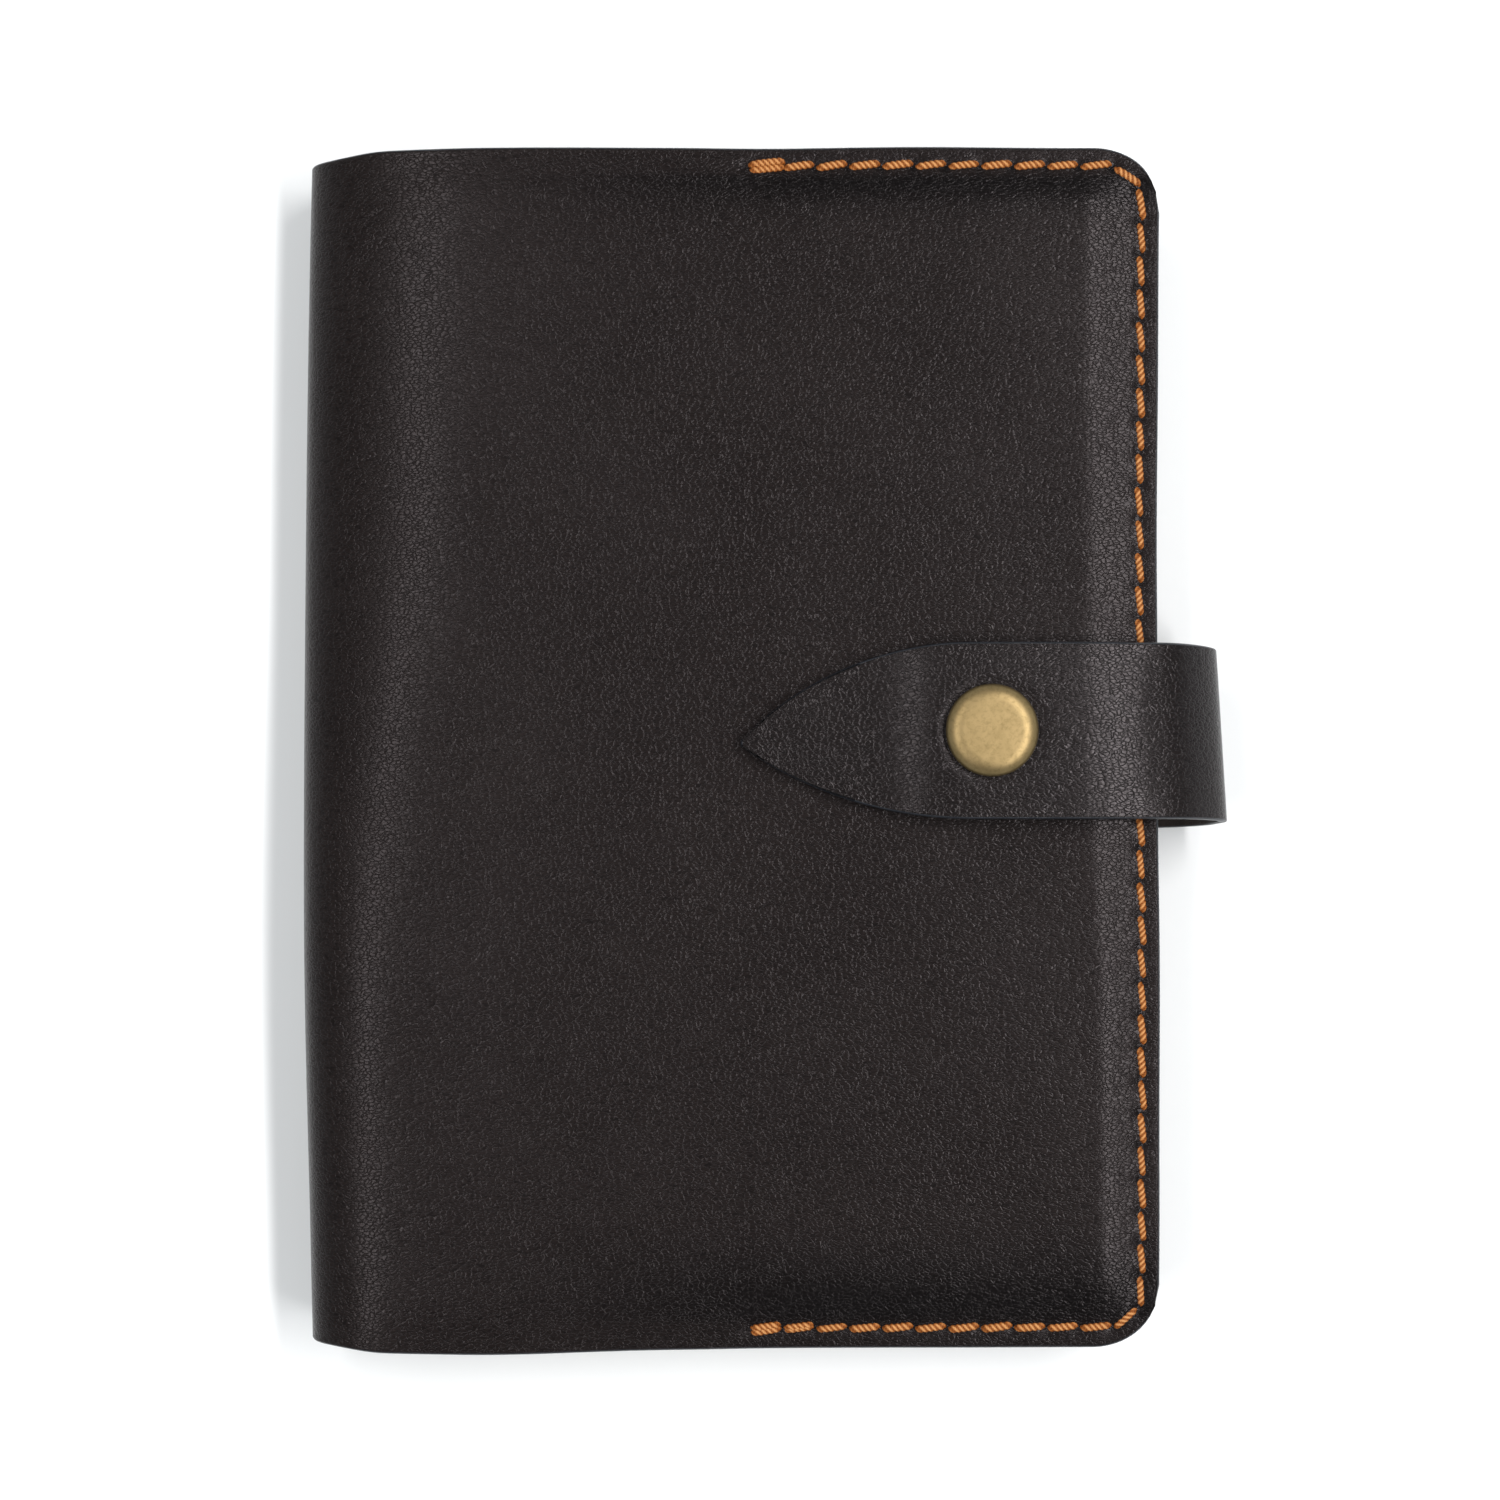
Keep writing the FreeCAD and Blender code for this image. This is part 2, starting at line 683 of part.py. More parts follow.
def binding():
    """Flyleaves, the lining that ties the block to the back board, and the sewing thread at its spine."""
    half = S["leaf_height"] / 2
    left, right = block_edge_x + 1, block_edge_x + S["leaf_width"]
    top = block_low + S["block_thick"]
    box("rear_flyleaf", (left, -half, block_low - 0.2), (right, half, block_low - 0.05))
    box("front_flyleaf", (left, -half, top + 0.05), (right, half, top + 0.2))
    lining_x = block_edge_x - 0.5 - S["lining_thick"]
    lining_end = half - 4
    foot = S["board_depth"] + S["board_thick"] + 0.05
    lining_face = lining_x + S["lining_thick"]
    upright = box("lining_upright", (lining_x, -lining_end, foot), (lining_face, lining_end, top))
    foot_top = foot + S["lining_thick"]
    flap = box("lining_foot", (lining_x, -lining_end, foot), (block_edge_x + 14, lining_end, foot_top))
    lining = doc.addObject("Part::Fuse", "spine_lining")
    lining.Base, lining.Tool = upright, flap
    runs = []
    for k, share in enumerate((-0.72, -0.24, 0.24, 0.72)):
        run = doc.addObject("Part::Cylinder", f"sewing_{k + 1}")
        bind(run, "Radius", 0.2)
        bind(run, "Height", S["block_thick"] - 0.6)
        for axis, place in (("x", block_edge_x - 0.25), ("y", half * share), ("z", block_low + 0.3)):
            bind(run, f"Placement.Base.{axis}", place)
        runs.append(run)
    thread = doc.addObject("Part::Compound", "sewing_thread")
    thread.Links = runs


# ---- build ----

NODES = (
    ["back_panel", "back_pocket", "back_seam_thread", "spine_leather"]
    + ["front_panel", "front_pocket", "front_seam_thread"]
    + ["strap_root", "strap_anchor_thread", "strap_loop", "strap_tab"]
    + ["snap_cap", "snap_socket", "snap_spring", "snap_stud", "snap_eyelet"]
    + ["notebook_back_cover", "notebook_front_cover", "notebook_spine_cover"]
    + [f"signature_{k + 1}" for k in range(SIGNATURES)]
    + ["rear_flyleaf", "front_flyleaf", "spine_lining", "sewing_thread"]
)


def check_and_export():
    """Stops at a failed object or a bad shape, then writes one STEP for each node."""
    doc.recompute()
    for obj in doc.Objects:
        if "Invalid" in obj.State or "Error" in obj.State:
            raise RuntimeError(f"{obj.Name} failed: {obj.State}")
    os.makedirs("parts", exist_ok=True)
    for name in NODES:
        shape = doc.getObject(name).Shape
        if shape.isNull() or not shape.isValid() or not shape.Solids:
            raise RuntimeError(f"{name} has no valid solid")
        shape.exportStep(f"parts/{name}.step")
        print(f"{name:24s} solids {len(shape.Solids)}  volume {shape.Volume:10.2f} mm3")


outer_panel("back")
outer_panel("front")
spine_leather()
back_pocket()
pocket("front")
seam_thread("back")
seam_thread("front")
strap_root()
strap_anchor_thread()
strap_loop()
strap_tab()
snap()
notebook_boards()
signatures()
binding()
check_and_export()
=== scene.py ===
"""Leather notebook cover with a snap strap, closed round a small sewn notebook.

Lengths are in millimetres until a mesh is made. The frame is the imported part's: +Z out of the front cover,
the spine towards -X, the fore edge and the strap towards +X, the head towards +Y.
"""

import math

import bpy
import numpy as np
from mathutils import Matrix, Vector


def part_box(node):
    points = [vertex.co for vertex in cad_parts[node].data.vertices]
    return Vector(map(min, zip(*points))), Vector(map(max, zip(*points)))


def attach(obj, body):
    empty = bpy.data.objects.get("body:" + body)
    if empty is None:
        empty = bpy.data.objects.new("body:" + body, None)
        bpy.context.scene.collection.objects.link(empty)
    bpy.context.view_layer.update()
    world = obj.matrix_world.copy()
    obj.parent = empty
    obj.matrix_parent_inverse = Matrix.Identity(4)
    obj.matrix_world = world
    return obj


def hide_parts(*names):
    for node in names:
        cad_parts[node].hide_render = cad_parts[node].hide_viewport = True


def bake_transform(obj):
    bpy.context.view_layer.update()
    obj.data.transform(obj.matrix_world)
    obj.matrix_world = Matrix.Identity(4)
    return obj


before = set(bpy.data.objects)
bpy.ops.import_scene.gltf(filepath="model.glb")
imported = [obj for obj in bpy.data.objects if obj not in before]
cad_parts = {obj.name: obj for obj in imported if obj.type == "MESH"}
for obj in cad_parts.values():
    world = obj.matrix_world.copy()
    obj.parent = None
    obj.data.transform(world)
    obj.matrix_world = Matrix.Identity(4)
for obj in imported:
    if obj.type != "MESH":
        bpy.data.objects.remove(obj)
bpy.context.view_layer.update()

MM = 0.001


def corners(node):
    """Lowest and highest corner of a CAD node, in mm."""
    low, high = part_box(node)
    return np.array(low) / MM, np.array(high) / MM


# ---- sizes read from the frame, and what goes with them ----

FRONT = corners("front_panel")
SPINE_X = corners("spine_leather")[0][0]
EDGE_X, HALF_Y, THICK = FRONT[1]
POCKET_X = corners("front_pocket")[0][0]
TAB = corners("strap_tab")
CAP = corners("snap_cap")
SNAP_X, SNAP_Y = (CAP[0] + CAP[1])[:2] / 2
STRAP_Y = (TAB[0] + TAB[1])[1] / 2
STRAP_HALF = (TAB[1] - TAB[0])[1] / 2
LOOP_X = corners("strap_loop")[1][0]
BOARD = corners("notebook_front_cover")

LEATHER = 1.4
POCKET = 1.0
CORNER = 8.6
ROW_CORNER = 3.9  # the row of stitches turns more tightly than the outline
STITCH_IN = 2.5  # edge to the row of stitches
SEAM_RUN = 55.8  # fore edge to the first hole
PITCH = 4.526
FRONT_SEAM, BACK_SEAM = 0.85, 0.7  # how far each sewn margin lies below the panel's face
BOARD_DEPTH = 2.35
POCKET_DEPTH = 3.55  # face of the panel to the hidden face of the pocket's middle
HOLE_SIZE = 0.62  # reach of the painted shade round a stitch hole
FOOT_SHADE = 0.95  # strength of the painted shade inside the stitches of head and tail
GRAIN_SHIFT = {"pocket_front": 800, "pocket_back": 1200, "strap": 1600}  # so that no two pieces share a grain
SNAP_SINK = 1.8  # top of the snap cap to the face of the strap round it


def smooth(t):
    """A step from 0 to 1 without corners."""
    t = np.clip(t, 0, 1)
    return t * t * (3 - 2 * t)


def lerp(a, b, t):
    return a + (b - a) * t


def unit(v):
    return v / np.maximum(np.linalg.norm(v, axis=-1, keepdims=True), 1e-12)


# ---- node materials ----


class Nodes:
    """A material's node tree, built by linking what add() returns."""

    def __init__(self, name, **fixed):
        self.material = bpy.data.materials.new(name)
        self.material.use_nodes = True
        self.tree = self.material.node_tree
        self.shader = self.tree.nodes["Principled BSDF"]
        for socket, value in fixed.items():
            self.shader.inputs[socket.replace("_", " ")].default_value = value

    def add(self, kind, *inputs, **settings):
        """A node with its properties, and its inputs in order, where None leaves one as it is."""
        node = self.tree.nodes.new("ShaderNode" + kind)
        for name, value in settings.items():
            setattr(node, name, value)
        for socket, value in zip([s for s in node.inputs if s.enabled], inputs):
            if isinstance(value, bpy.types.NodeSocket):
                self.tree.links.new(value, socket)
            elif value is not None:
                socket.default_value = value
        return node

    def uv(self):
        return self.add("TexCoord").outputs["UV"]

    def scaled(self, vector, x, y, z=1.0):
        return self.add("Mapping", vector, None, None, (x, y, z)).outputs[0]

    def noise(self, vector, scale, detail=2.0, rough=0.5, distortion=0.0):
        node = self.add("TexNoise", vector, scale, detail, rough)
        node.inputs["Distortion"].default_value = distortion
        return node.outputs["Fac"]

    def cells(self, vector, scale, feature="DISTANCE_TO_EDGE"):
        return self.add("TexVoronoi", vector, scale, feature=feature).outputs["Distance"]

    def span(self, value, from_low, from_high, to_low=0.0, to_high=1.0, kind="LINEAR"):
        ends = (from_low, from_high, to_low, to_high)
        return self.add("MapRange", value, *ends, interpolation_type=kind).outputs[0]

    def math(self, operation, a, b=0.0, c=0.0):
        return self.add("Math", a, b, c, operation=operation).outputs[0]

    def ramp(self, value, *stops):
        """Colour ramp from (place, (r, g, b)) stops."""
        node = self.add("ValToRGB", value)
        while len(node.color_ramp.elements) < len(stops):
            node.color_ramp.elements.new(1.0)
        for element, (place, colour) in zip(node.color_ramp.elements, stops):
            element.position = place
            element.color = (*colour, 1)
        return node.outputs["Color"]

    def mix(self, fac, a, b):
        node = self.tree.nodes.new("ShaderNodeMix")
        node.data_type = "RGBA"
        for name, value in (("Factor_Float", fac), ("A_Color", a), ("B_Color", b)):
            socket = [s for s in node.inputs if s.identifier == name][0]
            if isinstance(value, bpy.types.NodeSocket):
                self.tree.links.new(value, socket)
            else:
                socket.default_value = value if name == "Factor_Float" else (*value, 1)
        return [s for s in node.outputs if s.identifier == "Result_Color"][0]

    def bump(self, height, depth_mm, strength=1.0, under=None):
        node = self.add("Bump", strength)
        node.inputs["Distance"].default_value = depth_mm * MM
        self.tree.links.new(height, node.inputs["Height"])
        if under is not None:
            self.tree.links.new(under, node.inputs["Normal"])
        return node.outputs[0]

    def finish(self, colour=None, rough=None, normal=None, metallic=None):
        pairs = (("Base Color", colour), ("Roughness", rough), ("Normal", normal), ("Metallic", metallic))
        for name, socket in pairs:
            if socket is not None:
                self.tree.links.new(socket, self.shader.inputs[name])
        return self.material


def grain_leather(name, dark, light, rough_low=0.22, rough_high=0.28, grain=1.0, gloss=0.135):
    """The dyed and finished outer side: low domed pebbles between fine creases, pores and faint mottling; the
    creases carry painted shade.
    """
    n = Nodes(name, Specular_IOR_Level=gloss, Specular_Tint=(1, 0.9, 0.92, 1))
    for socket, value in (("Roughness", 0.5), ("IOR", 1.2)):
        n.shader.inputs["Coat " + socket].default_value = value  # a dull wax over the finish
    uv = n.uv()
    drift = n.add("TexNoise", uv, 0.7, 2.0).outputs["Color"]
    bent = n.add("VectorMath", drift, (0.9, 0.9, 0.0), uv, operation="MULTIPLY_ADD").outputs[0]
    long = n.add("Mapping", bent, None, (0, 0, 0.2), (1.3, 2.5, 1.0)).outputs[0]
    pebble = n.span(n.cells(long, 1.0), 0.0, 0.16, kind="SMOOTHSTEP")
    pores = n.noise(uv, 2.6, 2.0, 0.55)
    soft = n.noise(uv, 0.32, 3.0, 0.55)
    cloud = n.noise(uv, 0.045, 3.0, 0.6, 0.4)
    pressed = n.add("Attribute", attribute_name="press").outputs["Fac"]  # painted shade in the stitch holes and inside the stitches of head and tail, which also takes the coat away there
    n.tree.links.new(n.span(pressed, 0.0, 1.0, 0.2, 0.02), n.shader.inputs["Coat Weight"])
    off_centre = n.cells(long, 1.0, "F1")
    relief = n.math("MULTIPLY_ADD", n.math("MULTIPLY", off_centre, off_centre), -1.1, pebble)
    relief = n.math("MULTIPLY_ADD", pores, 0.5, relief)
    fine = n.bump(relief, 0.024 * grain)
    normal = n.bump(soft, 0.04, 1.0, fine)
    colour = n.ramp(cloud, (0.3, dark), (0.72, light))
    # painted shade in the creases between the pebbles
    colour = n.mix(n.span(pebble, 0.0, 1.0, 0.75, 0.0), colour, tuple(c * 0.4 for c in dark))
    colour = n.mix(n.span(pores, 0.5, 0.75, 0.0, 0.8), colour, tuple(c * 1.35 for c in light))
    # painted shade: near black in the stitch holes and inside the stitches of head and tail
    colour = n.mix(pressed, colour, (0.002, 0.0015, 0.0015))
    rough = n.span(n.math("MULTIPLY_ADD", pores, 0.4, cloud), 0.35, 1.0, rough_low, rough_high)
    return n.finish(colour, rough, normal)


def flesh_leather(name, dark, light):
    """The loose fibrous inner side."""
    n = Nodes(name, Specular_IOR_Level=0.2, Sheen_Weight=0.15)
    uv = n.uv()
    fibre = n.noise(n.scaled(uv, 2.2, 0.9), 1.6, 6.0, 0.7, 1.6)
    lumps = n.noise(uv, 0.5, 3.0, 0.6)
    matted = n.math("MULTIPLY_ADD", lumps, 0.4, n.math("MULTIPLY", fibre, 0.6))
    colour = n.ramp(matted, (0.3, dark), (0.7, light))
    return n.finish(colour, n.span(fibre, 0.3, 0.7, 0.75, 0.95), n.bump(fibre, 0.22, 0.9))


def painted_edge(name):
    """Cut edge, burnished and painted a blue black, with the layers faintly showing."""
    n = Nodes(name, Specular_IOR_Level=0.5)
    uv = n.uv()
    layers = n.noise(n.scaled(uv, 0.25, 5.0), 1.2, 3.0, 0.6, 0.5)
    colour = n.ramp(layers, (0.3, (0.0035, 0.0042, 0.007)), (0.75, (0.011, 0.0125, 0.018)))
    return n.finish(colour, n.span(layers, 0.3, 0.8, 0.32, 0.55), n.bump(layers, 0.12, 0.6))


def waxed_thread(name, dark, mid, light):
    """Twisted polyester thread; U runs along it and V round it, in mm."""
    n = Nodes(name, Specular_IOR_Level=0.3, Specular_Tint=(1.0, 0.8, 0.6, 1))
    uv = n.uv()
    ply = n.add("Attribute", attribute_name="ply").outputs["Fac"]
    hair = n.noise(n.scaled(uv, 1.5, 9.0), 2.2, 3.0, 0.65, 0.3)
    # painted shade in the grooves between the plies and painted light on their crests
    body = n.math("MULTIPLY_ADD", hair, 0.4, n.math("MULTIPLY", ply, 0.65))
    # painted shade: darker at the thread's sides and at the ends of each stitch
    body = n.math("MULTIPLY", body, n.add("Attribute", attribute_name="open").outputs["Fac"])
    colour = n.ramp(body, (0.2, dark), (0.54, mid), (0.88, light))
    return n.finish(colour, n.span(hair, 0.3, 0.7, 0.42, 0.62), n.bump(hair, 0.06, 0.7))


def aged_brass(name, clean=(0.28, 0.2, 0.094), stain=(0.16, 0.112, 0.045)):
    """Antiqued brass: pale where rubbed, brown in patches, with fine pits; the cap's rolled rim and underside
    are darkened by tarnish and painted shade together.
    """
    n = Nodes(name)
    at = n.add("TexCoord").outputs["Object"]
    cloud = n.noise(at, 330.0, 5.0, 0.62, 0.8)
    speck = n.noise(at, 1900.0, 4.0, 0.65, 0.5)
    rim = n.add("Attribute", attribute_name="rim").outputs["Fac"]
    tarnish_and_shade = n.math("ADD", n.span(cloud, 0.42, 0.7, 0.0, 0.4), n.span(speck, 0.48, 0.7, 0.0, 0.5))
    # rim: tarnish and painted shade on the cap's rolled rim and underside
    tarnish_and_shade = n.math("MAXIMUM", tarnish_and_shade, rim)
    colour = n.mix(tarnish_and_shade, clean, stain)
    rough = n.span(tarnish_and_shade, 0.0, 1.0, 0.46, 0.52)
    return n.finish(colour, rough, n.bump(speck, 0.008, 0.6), n.span(tarnish_and_shade, 0.3, 1.2, 1.0, 0.8))


def drawn_steel(name):
    """Bright wire with fine lines along it."""
    n = Nodes(name, Metallic=1.0)
    at = n.add("TexCoord").outputs["Object"]
    line = n.noise(n.scaled(at, 1, 1, 12), 1500.0, 3.0)
    colour = n.ramp(line, (0.3, (0.42, 0.42, 0.43)), (0.7, (0.62, 0.62, 0.62)))
    return n.finish(colour, n.span(line, 0.3, 0.7, 0.25, 0.4))


def page_paper(name, tint):
    """Uncoated paper with a faint cloudiness."""
    n = Nodes(name, Specular_IOR_Level=0.25)
    at = n.scaled(n.add("TexCoord").outputs["Object"], 1000, 1000, 1000)
    fibre = n.noise(at, 1.2, 4.0, 0.6)
    shade = n.noise(at, 0.06, 3.0, 0.5)
    colour = n.mix(n.span(shade, 0.3, 0.7, 0.0, 0.5), tint, tuple(c * 0.88 for c in tint))
    return n.finish(colour, n.span(fibre, 0.3, 0.7, 0.7, 0.85), n.bump(fibre, 0.03, 0.5))


def kraft_card(name):
    """Brown card with long fibres and darker flecks."""
    n = Nodes(name, Specular_IOR_Level=0.3)
    uv = n.uv()
    fibre = n.noise(n.scaled(uv, 1.0, 3.0), 1.1, 5.0, 0.7, 0.6)
    fleck = n.span(n.noise(uv, 2.2, 2.0), 0.66, 0.74)
    colour = n.ramp(fibre, (0.3, (0.2, 0.13, 0.075)), (0.7, (0.31, 0.215, 0.13)))
    colour = n.mix(n.math("MULTIPLY", fleck, 0.5), colour, (0.1, 0.06, 0.03))
    return n.finish(colour, n.span(fibre, 0.3, 0.7, 0.65, 0.85), n.bump(fibre, 0.05, 0.6))


GRAIN = grain_leather("leather_grain", (0.0072, 0.0047, 0.0043), (0.0102, 0.007, 0.0064))
STRAP = grain_leather("strap_leather", (0.005, 0.0032, 0.003), (0.0072, 0.0049, 0.0045), gloss=0.2)
FLESH = flesh_leather("leather_flesh", (0.012, 0.009, 0.008), (0.045, 0.034, 0.03))
LINING = grain_leather("pocket_leather", (0.0105, 0.0075, 0.007), (0.016, 0.0117, 0.011), 0.45, 0.55, 0.6)
EDGE = painted_edge("leather_edge")
THREAD = waxed_thread("seam_thread", (0.035, 0.006, 0.001), (0.27, 0.074, 0.01), (0.66, 0.33, 0.125))
BRASS = aged_brass("antique_brass")
STEEL = drawn_steel("spring_steel")
PAPER = page_paper("page_paper", (0.82, 0.78, 0.68))
FLYLEAF = page_paper("flyleaf_paper", (0.6, 0.53, 0.42))
CARD = kraft_card("cover_card")
SEWING = waxed_thread("sewing_linen", (0.45, 0.4, 0.3), (0.7, 0.66, 0.56), (0.85, 0.82, 0.75))


# ---- meshes ----


def make_mesh(name, verts, faces, uvs, kinds, materials, **attributes):
    """A smooth mesh from points in mm, with uvs for each corner of each face and a kind for each face."""
    mesh = bpy.data.meshes.new(name)
    mesh.from_pydata((np.asarray(verts) * MM).tolist(), [], np.asarray(faces).tolist())
    layer = mesh.uv_layers.new(name="UVMap")
    layer.data.foreach_set("uv", np.asarray(uvs, dtype=np.float32).ravel())
    for material in materials:
        mesh.materials.append(material)
    mesh.polygons.foreach_set("material_index", np.asarray(kinds, dtype=np.int32))
    mesh.polygons.foreach_set("use_smooth", np.ones(len(mesh.polygons), dtype=bool))
    for key, values in attributes.items():
        field = mesh.attributes.new(key, "FLOAT", "POINT")
        field.data.foreach_set("value", np.asarray(values, dtype=np.float32).ravel())
    mesh.update()
    piece = bpy.data.objects.new(name, mesh)
    bpy.context.collection.objects.link(piece)
    return piece


def strip_faces(rows, columns, closed=False):
    """Quads of a grid of points numbered row by row. closed joins the last column to the first."""
    i, j = np.meshgrid(np.arange(rows - 1), np.arange(columns if closed else columns - 1), indexing="ij")
    after = (j + 1) % columns
    row, below = i * columns, (i + 1) * columns
    return np.stack([row + j, below + j, below + after, row + after], -1).reshape(-1, 4)


def grid_normals(points):
    """Unit normals of a grid of points, rows cross columns."""
    return unit(np.cross(np.gradient(points, axis=0), np.gradient(points, axis=1)))


def sheet_mesh(name, face, uv, thick, materials, outward=1, bevel=0.3, press=None, butt=None):
    """Leather, card or paper of some thickness from a grid of points on its good side.

    outward is 1 where rows cross columns point out of the good side, and -1 where they point into it.
    The cut edge is rounded, but for the first (0) or last (-1) row if butt names it, where the sheet goes on
    as another piece. materials are those of the good side, the other side and the edge.
    """
    rows, columns = face.shape[:2]
    normal = grid_normals(face) * outward
    thick = np.broadcast_to(np.asarray(thick, dtype=float), (rows, columns))[..., None]
    number = np.arange(rows * columns).reshape(rows, columns)
    ring = np.concatenate([number[:, 0], number[-1, 1:], number[-2::-1, -1], number[0, -2:0:-1]])
    points, normals, depths = face.reshape(-1, 3), normal.reshape(-1, 3), thick.reshape(-1, 1)
    rim, rim_n, rim_t = points[ring], normals[ring], depths[ring]
    along = unit(np.roll(rim, -1, 0) - np.roll(rim, 1, 0))
    out = unit(np.cross(along, rim_n)) * outward
    bevel = np.full((len(ring), 1), bevel)
    if butt is not None:
        a, b = (2 * rows + columns - 3, len(ring)) if butt == 0 else (rows - 1, rows + columns - 2)
        bevel[a + 1:b] = 0
        out[a], out[b % len(ring)] = (out[a - 1], out[(b + 1) % len(ring)])
    pulled = points.copy()
    pulled[ring] = rim - out * bevel
    steps, step_width = 5, 0.3  # faces round the edge, and the width of one in the texture
    arcs = []
    for k in range(1, steps):
        turn = math.pi * k / steps
        arcs.append(pulled[ring] - rim_n * rim_t * (1 - math.cos(turn)) / 2 + out * bevel * math.sin(turn))
    verts = np.concatenate([pulled, pulled - normals * depths, *arcs])
    total, count = rows * columns, len(ring)
    good = strip_faces(rows, columns)
    bands = [ring] + [2 * total + k * count + np.arange(count) for k in range(steps - 1)] + [ring + total]
    band_faces, band_uv = [], []
    run = np.concatenate([[0], np.cumsum(np.linalg.norm(np.roll(rim, -1, 0) - rim, axis=1))])
    for k in range(steps):
        a, b = bands[k], bands[k + 1]
        band_faces.append(np.stack([a, b, np.roll(b, -1), np.roll(a, -1)], -1))
        low, high = k * step_width, (k + 1) * step_width
        left, right = run[:-1], run[1:]
        pairs = [(left, low), (left, high), (right, high), (right, low)]
        band_uv.append(np.stack([np.stack([u, np.full(count, v)], -1) for u, v in pairs], 1))
    band_faces = np.concatenate(band_faces)
    uvs = uv.reshape(-1, 2)
    faces = np.concatenate([good, (good + total)[:, ::-1], band_faces])
    face_uv = np.concatenate([uvs[good], uvs[good][:, ::-1], *band_uv])
    if outward < 0:
        faces, face_uv = faces[:, ::-1], face_uv[:, ::-1]
    kinds = np.repeat([0, 1, 2], [len(good), len(good), len(band_faces)])
    # painted shade, on the good side only, which darkens the leather's colour
    if press is None:
        press = np.zeros(total)
    press = np.concatenate([press.ravel(), press.ravel() * 0, np.zeros(count * (steps - 1))])
    piece = make_mesh(name, verts, faces, face_uv, kinds, materials, press=press)
    if butt is not None:
        last = number[butt]
        side = np.zeros(len(verts), dtype=int)
        side[last], side[last + total] = 1, 2
        ends = np.empty(len(piece.data.edges) * 2, dtype=np.int32)
        piece.data.edges.foreach_get("vertices", ends)
        ends = side[ends.reshape(-1, 2)]
        sharp = piece.data.attributes.new("sharp_edge", "BOOLEAN", "EDGE")
        sharp.data.foreach_set("value", (ends[:, 0] > 0) & (ends[:, 0] == ends[:, 1]))
    return piece


def lathe(name, profile, centre, material, turns=96, rim=None):
    """A turned piece from pairs of radius and height; its sharp profile is rounded by the given points."""
    profile = np.array(profile)
    angle = np.linspace(0, 2 * math.pi, turns, endpoint=False)
    radius, height = profile[:, 0], profile[:, 1]
    verts = np.stack([
        centre[0] + radius[:, None] * np.cos(angle),
        centre[1] + radius[:, None] * np.sin(angle),
        height[:, None] + 0 * angle,
    ], -1).reshape(-1, 3)
    faces = strip_faces(len(profile), turns, closed=True)
    uv = verts[faces][..., :2]
    field = np.zeros(len(verts)) if rim is None else np.repeat(rim, turns)
    return make_mesh(name, verts, faces, uv, np.zeros(len(faces)), [material], rim=field)


def place(piece, body, slot, *nodes):
    """The piece rides on a body, or, given the two bodies it would bend between, keeps its place; it stands
    for its CAD nodes, which are hidden.
    """
    if isinstance(body, str):
        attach(piece, body)
    else:
        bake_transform(piece)
    if nodes:
        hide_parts(*nodes)
    return piece


# ---- the seam: its line, its holes and how it presses the leather ----


def seam_path():
    """Points and directions along the row of stitches, from the head's inner end round to the tail's."""
    row_x, row_y = EDGE_X - STITCH_IN, HALF_Y - STITCH_IN
    radius = ROW_CORNER
    start_x = EDGE_X - SEAM_RUN
    flat, arc, side = row_x - radius - start_x, math.pi / 2 * radius, 2 * (row_y - radius)
    total = 2 * flat + 2 * arc + side

    def at(s):
        """Place and direction at length s along the row."""
        lower = s > total / 2
        s = total - s if lower else s
        if s < flat:
            x, y, dx, dy = start_x + s, row_y, 1, 0
        elif s < flat + arc:
            turn = (s - flat) / radius
            x, y = row_x - radius + radius * math.sin(turn), row_y - radius + radius * math.cos(turn)
            dx, dy = math.cos(turn), -math.sin(turn)
        else:
            x, y, dx, dy = row_x, row_y - radius - (s - flat - arc), 0, -1
        return (x, -y, -dx, dy) if lower else (x, y, dx, dy)

    return at, total


SEAM_AT, SEAM_LENGTH = seam_path()
STITCHES = round(SEAM_LENGTH / PITCH)
HOLES = np.array([SEAM_AT(min(k * SEAM_LENGTH / STITCHES, SEAM_LENGTH - 1e-6)) for k in range(STITCHES + 1)])
HOLES[:, 1] += 0.35 * smooth((-HOLES[:, 1] - 55) / 22)  # the row drifts inwards at the tail


def near_holes(x, y, size):
    """1 at a stitch hole, falling to 0 about size away."""
    flat_x, flat_y = np.ravel(x), np.ravel(y)
    nearest = np.full(flat_x.shape, 1e9)
    for hole_x, hole_y in HOLES[:, :2]:
        nearest = np.minimum(nearest, (flat_x - hole_x) ** 2 + (flat_y - hole_y) ** 2)
    return np.exp(-nearest / size**2).reshape(np.shape(x))


def edge_distance(x, y, inset=0.0, corner=CORNER):
    """Distance inside the outline, or a line inset from it, whose corners are rounded."""
    across = x - (EDGE_X - inset - corner)
    up = np.abs(y) - (HALF_Y - inset - corner)
    outside = np.hypot(np.maximum(across, 0), np.maximum(up, 0))
    return corner - outside - np.minimum(np.maximum(across, up), 0)


def sewn(x):
    """1 where the pocket lies under the panel, 0 towards the spine."""
    return smooth((x - POCKET_X + 9) / 14)


